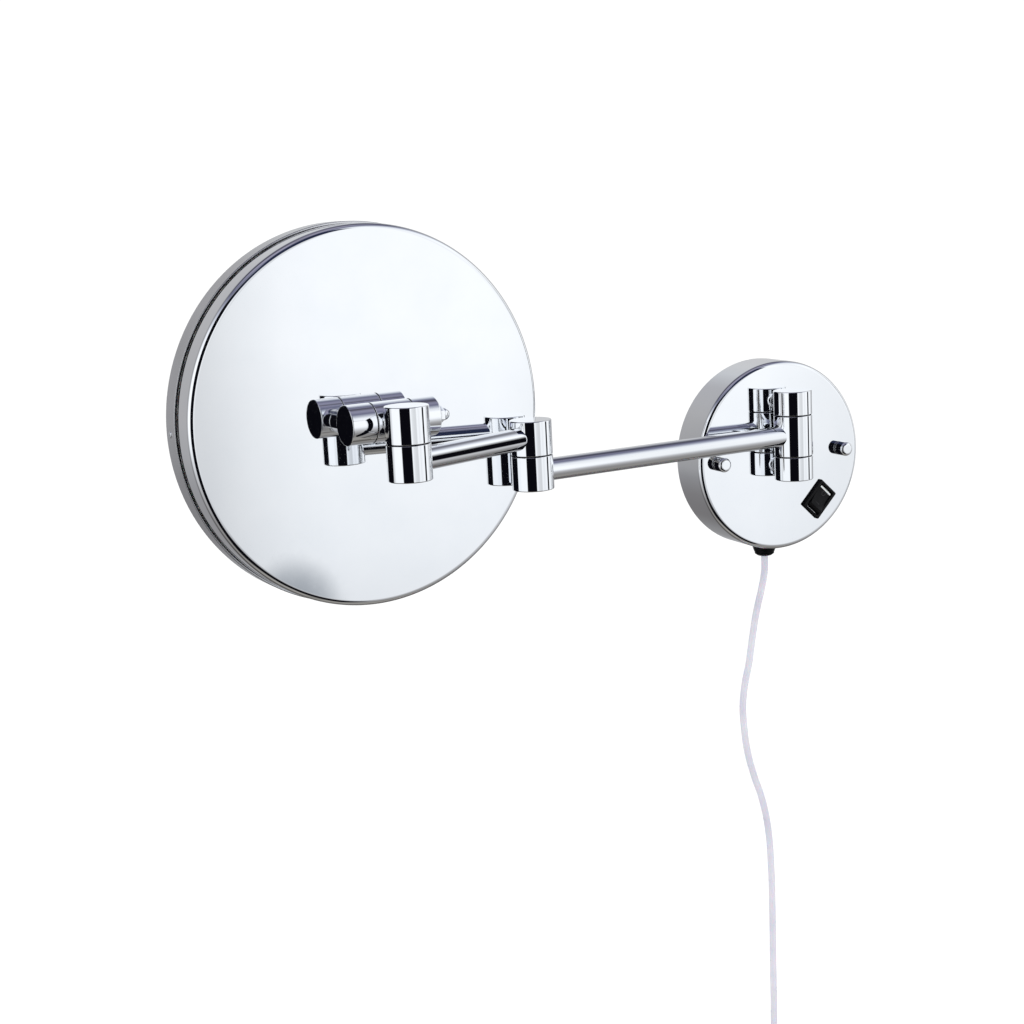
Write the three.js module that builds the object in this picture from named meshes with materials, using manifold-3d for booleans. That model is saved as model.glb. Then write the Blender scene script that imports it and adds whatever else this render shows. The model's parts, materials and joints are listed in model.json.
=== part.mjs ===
// Extendable shaving mirror: a lit round mirror on a two-link arm that folds out from a wall plate.
// Millimetres, +Z up. The origin is the centre of the wall plate's back, and the wall is the plane y = 0.
// The wall plate's face looks along -Y. The arm hangs off three knuckles with upright pivots.
import * as THREE from "three";
import { mergeVertices } from "three/addons/utils/BufferGeometryUtils.js";
import Module from "manifold-3d";

const wasm = await Module();
wasm.setup();

// ---- driving dimensions ----
const GAP = 0.3; // between pieces that touch
const PLATE = { radius: 60, depth: 27, wall: 1.2, fillet: 2.2 };
const BRACKET = { radius: 56, thickness: 2.5, holeCircle: 40, holeRadius: 2.6 };
const STUD = { x: 46, radius: 2, end: 33.4 };
const CAP_NUT = { radius: 4.5, length: 8, dome: 2, washerRadius: 5.4, washerThickness: 0.6 };
const KNUCKLE = { radius: 12.1, y: -41, z: 15, middle: 25.4, outer: 15.2, segment: 20, stubRadius: 6.5 };
const KNUCKLE_SCREW = { radius: 2.2, bore: 2.6, reach: 5.5, headRadius: 4.2, head: 3 };
const STIFFENER = { halfWidth: 13, thickness: 2, margin: 9 };
const SEAM = { washer: 0.5, gap: 0.2, radius: 11.4 };
const PIVOT = { radius: 3.5, headRadius: 5.5, headHeight: 4, recess: 1.2, cover: 3 };
const PIVOT_HEXAGON = { flats: 5, depth: 2.5 };
const TUBE = { radius: 6.5, bore: 5, socket: 4.6 };
const LONG_ARM = { length: 188, angle: 3.5 };
const SHORT_ARM = { length: 95, angle: 21 };
const HEAD = { angle: 4.5, tiltAxis: 21.5, radius: 10.9, middle: 23 };
const EAR = { length: 15.1, stubX: 19.5, stubRadius: 6.4 };
const EAR_SCREW = { radius: 2, bore: 2.3, reach: 8.2, headRadius: 4, head: 3, hole: 2.4 };
const TILT_BOLT = { radius: 3, blind: 4, tip: 6.5 };
const TILT_WASHER = { radius: 5.6, thickness: 0.8 };
const TILT_NUT = { flats: 8, height: 4.4, domeRadius: 3.7, domeBase: 5 };
const MIRROR = { offset: 20.2, depth: 33.5, rear: 15.9, groove: 3.3, radius: 105.2, bezelRadius: 106.4 };
const CASING = { wall: 1.3, fillet: 2.4 };
const BEZEL = { wall: 1.5, lip: 1, lipThickness: 1.2, fillet: 1.6 };
const BEZEL_SCREW = { angles: [60, 180, 300], height: 7, radius: 1.6, bore: 1.9, length: 4.8, proud: 0.2 };
const CARRIER = { rim: 6, rimWall: 2, rimHeight: 9.5, floorLow: 1.5, floorHigh: 3.5 };
const LED_BOARD = { inner: 87, outer: 98, thickness: 1.6 };
const LED = { count: 12, radius: 92.5, size: 3, height: 1.2 };
const GLASS = { radius: 84, edge: 3, dish: 1.6, recess: 1.6 };
const LIGHT = { inner: 84.6, outer: 99.2, thickness: 2 };
const SWITCH = { x: 28.2, z: -31.2, angle: 46, length: 21, width: 15.6, bezel: 1.8, floor: 5 };
const SWITCH_BODY = { length: 19.4, width: 13, back: 12 };
const ROCKER = { y: -24.5, reach: 8.7, tilt: 9, width: 10.6, sector: 36, crest: 4.1 };
const ROCKER_ROOT = { width: 7, depth: 3 };
const GLAND = { x: -4, y: -12, top: 7.7, bottom: 6.2, height: 5.7, neck: 6, neckLength: 9 };
const GLAND_NUT = { flats: 15, low: 4.4, high: 0.4 };
const CORD_RADIUS = 2.2;
const COIL = { radius: 24, lane: 5.07, leadIn: 18, tie: 30, tieGap: 1, tieWall: 1, tieWidth: 6 };
const PLUG = { z: -500, relief: 20, width: 34, body: 28, thickness: 13.4, shoulder: 0.45, corner: 1.5 };
const PLUG_PIN = { radius: 2, length: 19, pitch: 18.6 };

// Facets of a full turn
const FINE = 48;
const ROUND = 28;
const SMALL = 12;
const WASHER = 20;
const COIL_FACETS = 24;

// ---- materials ----
function look(color, roughness, metalness) {
  return new THREE.MeshStandardMaterial({ color, roughness, metalness });
}
const CHROME = look(0xe4e8ee, 0.06, 1);
const STEEL = look(0x9aa0a6, 0.35, 1);
const BRASS = look(0xc9a24a, 0.3, 1);
const BLACK = look(0x0c0c0e, 0.35, 0);
const NYLON = look(0x1b1b20, 0.6, 0);
const WHITE = look(0xeceef2, 0.5, 0);
const BOARD = look(0xf4f4f0, 0.6, 0);
const FROST = look(0xf6f7fa, 0.55, 0);
const SILVERED = look(0xdfe8ee, 0.02, 1);
const PALE_CORD = look(0xe2e2ea, 0.4, 0);

// ---- shapes ----
const degrees = THREE.MathUtils.degToRad;

// How far a cut runs past the surface that it opens
const PAST = 1;

// A closed geometry as a solid that can be cut and joined
function solid(geometry) {
  geometry.deleteAttribute("normal");
  geometry.deleteAttribute("uv");
  const merged = mergeVertices(geometry, 1e-4);
  return new wasm.Manifold(new wasm.Mesh({
    numProp: 3,
    vertProperties: merged.attributes.position.array,
    triVerts: new Uint32Array(merged.index.array),
  }));
}

// A solid's triangles as a geometry
function geometryOf(made) {
  const { vertProperties, triVerts } = made.getMesh();
  const geometry = new THREE.BufferGeometry();
  geometry.setAttribute("position", new THREE.BufferAttribute(vertProperties, 3));
  geometry.setIndex(new THREE.BufferAttribute(triVerts, 1));
  return geometry;
}

// A profile turned about Z, from [radius, height] points that run from the bottom to the top of its outside
function turnedGeometry(profile, facets) {
  const points = profile.map(([r, z]) => new THREE.Vector2(r, z));
  return new THREE.LatheGeometry(points, facets).rotateX(Math.PI / 2);
}
const diskProfile = (radius, low, high) => [[0, low], [radius, low], [radius, high], [0, high]];
const ringProfile = (inner, outer, low, high) => [
  [outer, low], [outer, high], [inner, high], [inner, low], [outer, low],
];
const alongZ = (geometry) => geometry;
const alongX = (geometry) => geometry.rotateY(Math.PI / 2);
const alongFront = (geometry) => geometry.rotateX(Math.PI / 2); // its height runs out of the wall, along -Y
const alongBack = (geometry) => geometry.rotateX(-Math.PI / 2); // its height runs along +Y
function turned(profile, { facets = ROUND, turn = alongZ, at = [0, 0, 0] } = {}) {
  return solid(turn(turnedGeometry(profile, facets)).translate(...at));
}
const disk = (radius, low, high, options) => turned(diskProfile(radius, low, high), options);
const ring = (inner, outer, low, high, options) => turned(ringProfile(inner, outer, low, high), options);

// A box between two corners
function block([x0, y0, z0], [x1, y1, z1]) {
  const box = new THREE.BoxGeometry(x1 - x0, y1 - y0, z1 - z0);
  return solid(box.translate((x0 + x1) / 2, (y0 + y1) / 2, (z0 + z1) / 2));
}

// A rounded corner as profile points, about a centre, from one angle to another
function fillet(radius, height, size, from, to, steps = 3) {
  return Array.from({ length: steps + 1 }, (_, i) => {
    const a = degrees(from + ((to - from) * i) / steps);
    return [radius + size * Math.cos(a), height + size * Math.sin(a)];
  });
}

// A hexagonal prism
function hexagon(acrossFlats, low, high, options) {
  return disk(acrossFlats / Math.sqrt(3), low, high, { facets: 6, ...options });
}

// The solid as a named mesh in a group
function place(group, name, material, made) {
  const mesh = new THREE.Mesh(geometryOf(made), material);
  mesh.name = name;
  group.add(mesh);
}

function group(parent, position, turnZ = 0) {
  const made = new THREE.Group();
  made.position.set(...position);
  made.rotation.z = degrees(turnZ);
  parent.add(made);
  return made;
}

// ---- wall plate ----
const topScrewZ = KNUCKLE.z + (KNUCKLE.middle + KNUCKLE.outer) / 2;
const bottomScrewZ = KNUCKLE.z - (KNUCKLE.middle + KNUCKLE.outer) / 2;

// A switch piece: local x along the rocker's length, local y across it, local z out of the plate
function inSwitch(made, depth = 0) {
  const turnedUp = geometryOf(made).rotateX(Math.PI / 2).rotateY(-degrees(SWITCH.angle));
  return solid(turnedUp.translate(SWITCH.x, depth, SWITCH.z));
}

function plateCover() {
  const { radius, depth, wall, fillet: corner } = PLATE;
  const shell = turned(
    [
      [0, depth - wall],
      ...fillet(radius - corner, depth - corner, corner - wall, 90, 0),
      [radius - wall, 0],
      [radius, 0],
      ...fillet(radius - corner, depth - corner, corner, 0, 90),
      [0, depth],
    ],
    { facets: FINE, turn: alongFront },
  );
  const low = depth - wall - PAST;
  const high = depth + PAST;
  const hole = (r, x, z) => disk(r, low, high, { facets: SMALL, turn: alongFront, at: [x, 0, z] });
  const opening = { x: SWITCH_BODY.length / 2 + GAP, y: SWITCH_BODY.width / 2 + GAP };
  const slot = inSwitch(block([-opening.x, -opening.y, low], [opening.x, opening.y, high]));
  const glandHole = disk(
    GLAND.neck + GAP, -radius - PAST, -radius + 4 * wall, { at: [GLAND.x, GLAND.y, 0], facets: SMALL },
  );
  return [
    hole(STUD.radius + GAP, -STUD.x, 0),
    hole(STUD.radius + GAP, STUD.x, 0),
    hole(KNUCKLE_SCREW.bore, 0, topScrewZ),
    hole(KNUCKLE_SCREW.bore, 0, bottomScrewZ),
    slot,
    glandHole,
  ].reduce((made, cut) => made.subtract(cut), shell);
}

function wallBracket() {
  const { radius, thickness, holeCircle, holeRadius } = BRACKET;
  let plate = disk(radius, 0, thickness, { facets: FINE, turn: alongFront });
  const cut = (r, x, z) => {
    const options = { facets: SMALL, turn: alongFront, at: [x, 0, z] };
    plate = plate.subtract(disk(r, -PAST, thickness + PAST, options));
  };
  for (const angle of [90, 210, 330]) {
    const a = degrees(angle);
    cut(holeRadius, holeCircle * Math.cos(a), holeCircle * Math.sin(a));
  }
  cut(STUD.radius + GAP, -STUD.x, 0);
  cut(STUD.radius + GAP, STUD.x, 0);
  return plate;
}

function capNut(x) {
  const { radius, length, dome, washerThickness } = CAP_NUT;
  const base = PLATE.depth + washerThickness + 2 * GAP;
  const end = PLATE.depth + length;
  const profile = [
    [0, base],
    [radius, base],
    [radius, end - dome],
    ...fillet(radius - dome, end - dome, dome, 30, 90, 2),
    [0, end],
  ];
  const options = { facets: SMALL, turn: alongFront, at: [x, 0, 0] };
  return turned(profile, options).subtract(disk(STUD.radius + GAP, base - PAST, STUD.end + GAP, options));
}

function wallPlate(root) {
  place(root, "wall_plate_cover", CHROME, plateCover());
  place(root, "wall_bracket", STEEL, wallBracket());
  for (const [side, x] of [["left", -STUD.x], ["right", STUD.x]]) {
    const round = { facets: SMALL, turn: alongFront, at: [x, 0, 0] };
    const low = PLATE.depth + GAP;
    place(root, `stud_${side}`, STEEL, disk(STUD.radius, GAP, STUD.end, round));
    place(root, `stud_washer_${side}`, CHROME,
      ring(STUD.radius + GAP, CAP_NUT.washerRadius, low, low + CAP_NUT.washerThickness, round));
    place(root, `cap_nut_${side}`, CHROME, capNut(x));
  }
}

// ---- what the wall plate holds ----
function electrics(root) {
  place(root, "led_driver", WHITE, block([-41, -19, 7], [-15, -BRACKET.thickness - GAP, 37]));
  place(root, "terminal_block", WHITE, block([-13, -17, -36], [7, -6, -26]));
  const neckTop = -PLATE.radius + GLAND.neckLength;
  const { x, y } = GLAND;
  const outside = [
    [CORD_RADIUS + GAP, neckTop],
    [CORD_RADIUS + GAP, -PLATE.radius - GAP - GLAND.height],
    [GLAND.bottom, -PLATE.radius - GAP - GLAND.height],
    [GLAND.top, -PLATE.radius - GAP],
    [GLAND.neck, -PLATE.radius - GAP],
    [GLAND.neck, neckTop],
    [CORD_RADIUS + GAP, neckTop],
  ];
  place(root, "cable_gland", BLACK, turned(outside, { facets: SMALL, at: [x, y, 0] }));
  const low = neckTop - GLAND_NUT.low;
  const high = neckTop - GLAND_NUT.high;
  const bore = disk(GLAND.neck + GAP, low - PAST, high + PAST, { facets: SMALL, at: [x, y, 0] });
  place(root, "gland_nut", BLACK, hexagon(GLAND_NUT.flats, low, high, { at: [x, y, 0] }).subtract(bore));
}

function rockerSwitch(root) {
  const half = { x: SWITCH.length / 2, y: SWITCH.width / 2 };
  const body = { x: SWITCH_BODY.length / 2, y: SWITCH_BODY.width / 2, back: SWITCH_BODY.back };
  const { reach, tilt, width, sector, crest } = ROCKER;
  const face = PLATE.depth + GAP;
  const bezel = block([-half.x, -half.y, face], [half.x, half.y, face + SWITCH.bezel]);
  const box = block([-body.x, -body.y, body.back], [body.x, body.y, face + SWITCH.bezel / 2]);
  const cavity = block(
    [-reach - GAP, -width / 2 - GAP, body.back + SWITCH.floor],
    [reach + GAP, width / 2 + GAP, face + SWITCH.bezel + PAST],
  );
  place(root, "switch_housing", BLACK, inSwitch(bezel.add(box).subtract(cavity)));
  const shape = new THREE.Shape();
  const corner = degrees(sector);
  shape.moveTo(ROCKER_ROOT.width / 2, -ROCKER_ROOT.depth);
  shape.lineTo(reach, 0);
  shape.absarc(0, 0, reach, 0, corner, false);
  shape.lineTo(0, crest);
  shape.lineTo(-reach * Math.cos(corner), reach * Math.sin(corner));
  shape.absarc(0, 0, reach, Math.PI - corner, Math.PI, false);
  shape.lineTo(-ROCKER_ROOT.width / 2, -ROCKER_ROOT.depth);
  const key = new THREE.ExtrudeGeometry(shape, { depth: width, bevelEnabled: false, curveSegments: 4 });
  key.translate(0, 0, -width / 2).rotateX(Math.PI / 2).rotateY(degrees(tilt));
  place(root, "switch_rocker", BLACK, inSwitch(solid(key), ROCKER.y));
}

// ---- knuckles ----
const seam = SEAM.washer / 2 + SEAM.gap; // from the middle of a seam to the steel
const washer = (z) => ring(
  PIVOT.radius + GAP, SEAM.radius, z - SEAM.washer / 2, z + SEAM.washer / 2, { facets: WASHER },
);
const pivotBore = (low, high) => disk(PIVOT.radius + GAP, low, high, { facets: SMALL });
const headRecess = (bottom) => disk(
  PIVOT.headRadius + GAP, bottom - PAST, bottom + PIVOT.recess + PIVOT.headHeight + GAP, { facets: SMALL },
);

// A socket-head pivot screw, from the bottom of the lowest segment up into the top one
function pivotScrew(bottom, top) {
  const low = bottom + PIVOT.recess;
  const shank = disk(PIVOT.radius, low, top - PIVOT.cover - GAP, { facets: SMALL });
  const head = disk(PIVOT.headRadius, low, low + PIVOT.headHeight, { facets: SMALL });
  return shank.add(head).subtract(hexagon(PIVOT_HEXAGON.flats, low - PAST, low + PIVOT_HEXAGON.depth));
}

// The hole in a knuckle's side that an arm's tube is pressed into: side is 1 towards +X and -1 towards -X
function socketHole(side) {
  const span = [KNUCKLE.radius - TUBE.socket - GAP, KNUCKLE.radius + PAST];
  const [from, to] = side > 0 ? span : [-span[1], -span[0]];
  return disk(TUBE.radius + GAP, from, to, { turn: alongX });
}

function tube(arm, name, length) {
  const far = -length + KNUCKLE.radius - TUBE.socket;
  const near = -KNUCKLE.radius + TUBE.socket;
  place(arm, `${name}_tube`, CHROME, ring(TUBE.bore, TUBE.radius, far, near, { turn: alongX }));
}

function wallKnuckle(root) {
  const { radius, middle, outer } = KNUCKLE;
  const half = middle / 2;
  const made = group(root, [0, KNUCKLE.y, KNUCKLE.z]);
  const toPlate = -KNUCKLE.y - PLATE.depth - GAP;
  const behindCover = -PLATE.depth + PLATE.wall + GAP;
  const behindStiffener = behindCover + STIFFENER.thickness;
  const segments = [["bottom", -half - outer, -half - seam], ["top", half + seam, half + outer]];
  for (const [name, low, high] of segments) {
    const z = name === "top" ? half + outer / 2 : -half - outer / 2;
    const inWall = { facets: SMALL, turn: alongBack, at: [0, 0, z] };
    const stub = disk(KNUCKLE.stubRadius, 0, toPlate, { turn: alongBack, at: [0, 0, z] });
    const thread = disk(KNUCKLE_SCREW.bore, KNUCKLE_SCREW.reach + GAP, toPlate + PAST, inWall);
    const leaf = disk(radius, low, high).add(stub).subtract(thread);
    const bored = name === "top"
      ? leaf.subtract(pivotBore(low - PAST, high - PIVOT.cover))
      : leaf.subtract(pivotBore(low - PAST, high + PAST)).subtract(headRecess(low));
    place(made, `wall_knuckle_${name}`, CHROME, bored);
    const headLow = behindStiffener - KNUCKLE.y + GAP;
    const headHigh = headLow + KNUCKLE_SCREW.head;
    const screw = disk(KNUCKLE_SCREW.radius, KNUCKLE_SCREW.reach + 2 * GAP, headHigh, inWall)
      .add(disk(KNUCKLE_SCREW.headRadius, headLow, headHigh, inWall));
    place(made, `knuckle_screw_${name}`, STEEL, screw);
    place(made, `wall_washer_${name}`, NYLON, washer(name === "top" ? half : -half));
  }
  const z0 = -half - outer;
  place(made, "wall_pivot_screw", STEEL, pivotScrew(z0, -z0));
  const { halfWidth, margin } = STIFFENER;
  const stiffener = block(
    [-halfWidth, behindCover, bottomScrewZ - margin], [halfWidth, behindStiffener, topScrewZ + margin],
  );
  const through = (z) => disk(
    KNUCKLE_SCREW.bore, 0, PLATE.depth, { facets: SMALL, turn: alongFront, at: [0, 0, z] },
  );
  const drilled = stiffener.subtract(through(topScrewZ)).subtract(through(bottomScrewZ));
  place(root, "cover_stiffener", STEEL, drilled);
}

function longArm(root) {
  const made = group(root, [0, KNUCKLE.y, KNUCKLE.z], LONG_ARM.angle);
  const half = KNUCKLE.middle / 2 - seam;
  const hub = disk(KNUCKLE.radius, -half, half)
    .subtract(pivotBore(-half - PAST, half + PAST))
    .subtract(socketHole(-1));
  place(made, "long_arm_wall_hub", CHROME, hub);
  tube(made, "long_arm", LONG_ARM.length);
  const elbow = group(made, [-LONG_ARM.length, 0, 0]);
  const low = -KNUCKLE.segment / 2;
  const lower = disk(KNUCKLE.radius, low, -low - seam)
    .subtract(pivotBore(low - PAST, -low))
    .subtract(headRecess(low))
    .subtract(socketHole(1));
  place(elbow, "long_arm_elbow_hub", CHROME, lower);
  place(elbow, "elbow_washer", NYLON, washer(-low));
  return made;
}

function shortArm(longArmGroup) {
  const made = group(longArmGroup, [-LONG_ARM.length, 0, KNUCKLE.segment], SHORT_ARM.angle - LONG_ARM.angle);
  const half = KNUCKLE.segment / 2;
  const upper = disk(KNUCKLE.radius, -half + seam, half)
    .subtract(pivotBore(-half, half - PIVOT.cover))
    .subtract(socketHole(-1));
  place(made, "short_arm_elbow_hub", CHROME, upper);
  place(made, "elbow_pivot_screw", STEEL, pivotScrew(-half - KNUCKLE.segment, half));
  tube(made, "short_arm", SHORT_ARM.length);
  const end = group(made, [-SHORT_ARM.length, 0, 0]);
  const lower = disk(KNUCKLE.radius, -half, half - seam)
    .subtract(pivotBore(-half - PAST, half))
    .subtract(headRecess(-half))
    .subtract(socketHole(1));
  place(end, "short_arm_head_hub", CHROME, lower);
  place(end, "head_washer", NYLON, washer(half));
  return made;
}

// ---- head: an upright knuckle segment joined to the middle of the level tilt barrel ----
function swivelBlock(shortArmGroup) {
  const made = group(shortArmGroup, [-SHORT_ARM.length, 0, KNUCKLE.segment], HEAD.angle - SHORT_ARM.angle);
  const half = KNUCKLE.segment / 2;
  const barrelHalf = HEAD.middle / 2 - seam;
  const barrel = { turn: alongX, at: [0, HEAD.tiltAxis, 0] };
  const boltEnd = barrelHalf + PAST;
  const boltHole = disk(TILT_BOLT.radius + GAP, -boltEnd, boltEnd, { facets: SMALL, ...barrel });
  const hub = disk(KNUCKLE.radius, -half + seam, half)
    .add(disk(HEAD.radius, -barrelHalf, barrelHalf, barrel))
    .subtract(pivotBore(-half, half - PIVOT.cover))
    .subtract(boltHole);
  place(made, "head_swivel_block", CHROME, hub);
  place(made, "head_pivot_screw", STEEL, pivotScrew(-half - KNUCKLE.segment, half));
  return made;
}

function tiltEars(mirror) {
  const inner = HEAD.middle / 2 + seam;
  const outer = HEAD.middle / 2 + EAR.length;
  const rear = MIRROR.offset;
  const boltBore = TILT_BOLT.radius + GAP;
  for (const [side, sign] of [["left", -1], ["right", 1]]) {
    const span = (a, b) => (sign > 0 ? [a, b] : [-b, -a]);
    const inStub = { facets: SMALL, turn: alongBack, at: [sign * EAR.stubX, 0, 0] };
    const barrel = disk(HEAD.radius, ...span(inner, outer), { turn: alongX });
    const stub = disk(EAR.stubRadius, 0, rear - GAP, { ...inStub, facets: ROUND });
    const holeEnd = sign > 0 ? outer + PAST : outer - TILT_BOLT.blind;
    const boltHole = disk(boltBore, ...span(inner - PAST, holeEnd), { facets: SMALL, turn: alongX });
    const thread = disk(EAR_SCREW.bore, EAR_SCREW.reach - GAP, rear, inStub);
    place(mirror, `tilt_ear_${side}`, CHROME, barrel.add(stub).subtract(boltHole).subtract(thread));
    const headLow = rear + CASING.wall + GAP;
    const headHigh = headLow + EAR_SCREW.head;
    const screw = disk(EAR_SCREW.radius, EAR_SCREW.reach, headHigh, inStub)
      .add(disk(EAR_SCREW.headRadius, headLow, headHigh, inStub));
    place(mirror, `ear_screw_${side}`, STEEL, screw);
    const middle = (sign * HEAD.middle) / 2;
    const washerSpan = [middle - SEAM.washer / 2, middle + SEAM.washer / 2];
    const washerRadius = HEAD.radius + SEAM.radius - KNUCKLE.radius;
    place(mirror, `tilt_washer_${side}`, NYLON,
      ring(boltBore, washerRadius, ...washerSpan, { facets: WASHER, turn: alongX }));
  }
  const small = { facets: SMALL, turn: alongX };
  const tip = outer + TILT_BOLT.tip;
  place(mirror, "tilt_bolt", STEEL, disk(TILT_BOLT.radius, -outer + TILT_BOLT.blind + GAP, tip, small));
  const washerLow = outer + GAP;
  const washerHigh = washerLow + TILT_WASHER.thickness;
  place(mirror, "tilt_nut_washer", CHROME, ring(boltBore, TILT_WASHER.radius, washerLow, washerHigh, small));
  const base = washerHigh + GAP;
  const { flats, height, domeRadius, domeBase } = TILT_NUT;
  const dome = [[0, base], [domeRadius, base], ...fillet(0, base + domeBase, domeRadius, 0, 90, 5)];
  const nut = hexagon(flats, base, base + height, { turn: alongX })
    .add(turned(dome, small))
    .subtract(disk(boltBore, base - PAST, tip + GAP, small));
  place(mirror, "tilt_cap_nut", CHROME, nut);
}

// ---- mirror head: heights run from the flat back (0) to the front ----
const inMirror = (profile) => turned(profile, { facets: FINE, turn: alongBack, at: [0, MIRROR.offset, 0] });
const mirrorRing = (inner, outer, low, high) => inMirror(ringProfile(inner, outer, low, high));
const bezelLow = MIRROR.rear + MIRROR.groove;
const screwHeight = bezelLow + BEZEL_SCREW.height;

function rearCasing() {
  const { radius, rear } = MIRROR;
  const { wall, fillet: corner } = CASING;
  const shell = inMirror([
    [0, 0],
    ...fillet(radius - corner, corner, corner, -90, 0),
    [radius, rear],
    [radius - wall, rear],
    ...fillet(radius - corner, corner, corner - wall, 0, -90),
    [0, wall],
  ]);
  const hole = (x) => disk(
    EAR_SCREW.hole, -PAST, wall + PAST, { facets: SMALL, turn: alongBack, at: [x, MIRROR.offset, 0] },
  );
  return shell.subtract(hole(-EAR.stubX)).subtract(hole(EAR.stubX));
}

// A round bar that points out of the mirror's edge at an angle, at the height of the bezel screws
function radialBar(angle, radius, from, to) {
  const bar = alongX(turnedGeometry(diskProfile(radius, from, to), SMALL));
  return solid(bar.rotateY(-degrees(angle)).translate(0, MIRROR.offset + screwHeight, 0));
}
function withScrewHoles(made) {
  const [from, to] = [LIGHT.outer - PAST, MIRROR.bezelRadius + PAST];
  return BEZEL_SCREW.angles.reduce(
    (cut, angle) => cut.subtract(radialBar(angle, BEZEL_SCREW.bore, from, to)), made,
  );
}

function frontBezel() {
  const { bezelRadius: radius, depth } = MIRROR;
  const { wall, lipThickness, fillet: corner } = BEZEL;
  const lip = LIGHT.outer - BEZEL.lip;
  return withScrewHoles(inMirror([
    [radius - wall, bezelLow],
    [radius, bezelLow],
    ...fillet(radius - corner, depth - corner, corner, 0, 90),
    [lip, depth],
    [lip, depth - lipThickness],
    [radius - wall, depth - lipThickness],
    [radius - wall, bezelLow],
  ]));
}

function bezelScrew(angle) {
  const end = MIRROR.bezelRadius + BEZEL_SCREW.proud;
  return radialBar(angle, BEZEL_SCREW.radius, end - BEZEL_SCREW.length, end);
}

// The carrier is a shallow pan whose rim takes the bezel screws
function carrier() {
  const outer = MIRROR.bezelRadius - BEZEL.wall - GAP;
  const { rim, rimWall, rimHeight, floorLow, floorHigh } = CARRIER;
  return withScrewHoles(inMirror([
    [0, bezelLow + floorLow],
    [outer - rim, bezelLow + floorLow],
    [outer - rim, bezelLow],
    [outer, bezelLow],
    [outer, bezelLow + rimHeight],
    [outer - rimWall, bezelLow + rimHeight],
    [outer - rimWall, bezelLow + floorHigh],
    [0, bezelLow + floorHigh],
  ]));
}

function lightBoard() {
  const { inner, outer, thickness } = LED_BOARD;
  const low = bezelLow + CARRIER.floorHigh + GAP;
  const ledAt = MIRROR.offset + low + thickness + LED.height / 3;
  let board = mirrorRing(inner, outer, low, low + thickness);
  for (let i = 0; i < LED.count; i += 1) {
    const led = new THREE.BoxGeometry(LED.size, LED.height, LED.size).translate(LED.radius, ledAt, 0);
    board = board.add(solid(led.rotateY((2 * Math.PI * i) / LED.count)));
  }
  return board;
}

function glass() {
  const { radius, edge, dish, recess } = GLASS;
  const top = MIRROR.depth - recess;
  const steps = 4;
  const face = Array.from({ length: steps + 1 }, (_, i) => {
    const r = radius * (1 - i / steps);
    return [r, top - dish * (1 - (r / radius) ** 2)];
  });
  return inMirror([[0, top - edge], [radius, top - edge], ...face]);
}

function mirrorHead(mirror) {
  place(mirror, "rear_casing", CHROME, rearCasing());
  const gasket = mirrorRing(MIRROR.radius - 8.2, MIRROR.radius - 1.8, MIRROR.rear + GAP, bezelLow - GAP);
  place(mirror, "seam_gasket", NYLON, gasket);
  place(mirror, "front_bezel", CHROME, frontBezel());
  place(mirror, "mirror_carrier", WHITE, carrier());
  place(mirror, "led_ring_board", BOARD, lightBoard());
  const lightTop = MIRROR.depth - BEZEL.lipThickness - GAP;
  const diffuser = mirrorRing(LIGHT.inner, LIGHT.outer, lightTop - LIGHT.thickness, lightTop);
  place(mirror, "light_diffuser", FROST, diffuser);
  place(mirror, "mirror_glass", SILVERED, glass());
  BEZEL_SCREW.angles.forEach((angle, i) => place(mirror, `bezel_screw_${i + 1}`, STEEL, bezelScrew(angle)));
}

// ---- mains cord: hangs from the gland, is wound into a tied coil, and ends in a two-pin plug ----
const CORD_ROUTE = [
  [-4, -66.3], [-4, -71], [-4.4, -77], [-6.6, -87], [-11.6, -104], [-15.4, -122], [-18, -136], [-21.6, -150],
  [-23.6, -164], [-23.2, -178], [-20.8, -197], [-16.6, -213], [-10.6, -231], [-6.4, -252], [-4.6, -280],
  [-4.4, -310], [-4.8, -345], [-5, -375], [-5, -400],
];
const CORD_Y = GLAND.y;
const [hangX, hangZ] = CORD_ROUTE.at(-1);
// The turns lie side by side in a bundle: a turn's middle is one lane from the middle of the bundle
const bundle = COIL.lane + CORD_RADIUS;
const coilX = hangX + COIL.leadIn;
const coilZ = hangZ - COIL.leadIn - COIL.radius - COIL.lane;

function cordTube(points, steps) {
  const curve = new THREE.CatmullRomCurve3(points.map(([x, z]) => new THREE.Vector3(x, CORD_Y, z)));
  const circle = new THREE.Shape().absarc(0, 0, CORD_RADIUS, 0, 2 * Math.PI, false);
  const options = { steps, extrudePath: curve, curveSegments: 4 };
  return solid(new THREE.ExtrudeGeometry(circle, options)).subtract(coilSolid(bundle + GAP));
}

// A quarter turn between hanging straight and running level
function quarter(centreZ, from, to, steps = 3) {
  return Array.from({ length: steps + 1 }, (_, i) => {
    const a = degrees(from + ((to - from) * i) / steps);
    return [coilX + COIL.leadIn * Math.cos(a), centreZ + COIL.leadIn * Math.sin(a)];
  });
}

function coilSolid(size) {
  const sides = 8;
  const section = Array.from({ length: sides + 1 }, (_, i) => {
    const a = (2 * Math.PI * i) / sides;
    return [COIL.radius + size * Math.cos(a), size * Math.sin(a)];
  });
  return turned(section, { facets: COIL_FACETS, turn: alongBack, at: [coilX, CORD_Y, coilZ] });
}

function coilTie() {
  const { radius, tie, tieGap, tieWall, tieWidth } = COIL;
  const inner = bundle + tieGap;
  const band = turnedGeometry(ringProfile(inner, inner + tieWall, -tieWidth / 2, tieWidth / 2), SMALL);
  return solid(band.translate(radius, 0, 0).rotateY(-degrees(tie)).translate(coilX, CORD_Y, coilZ));
}

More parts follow.
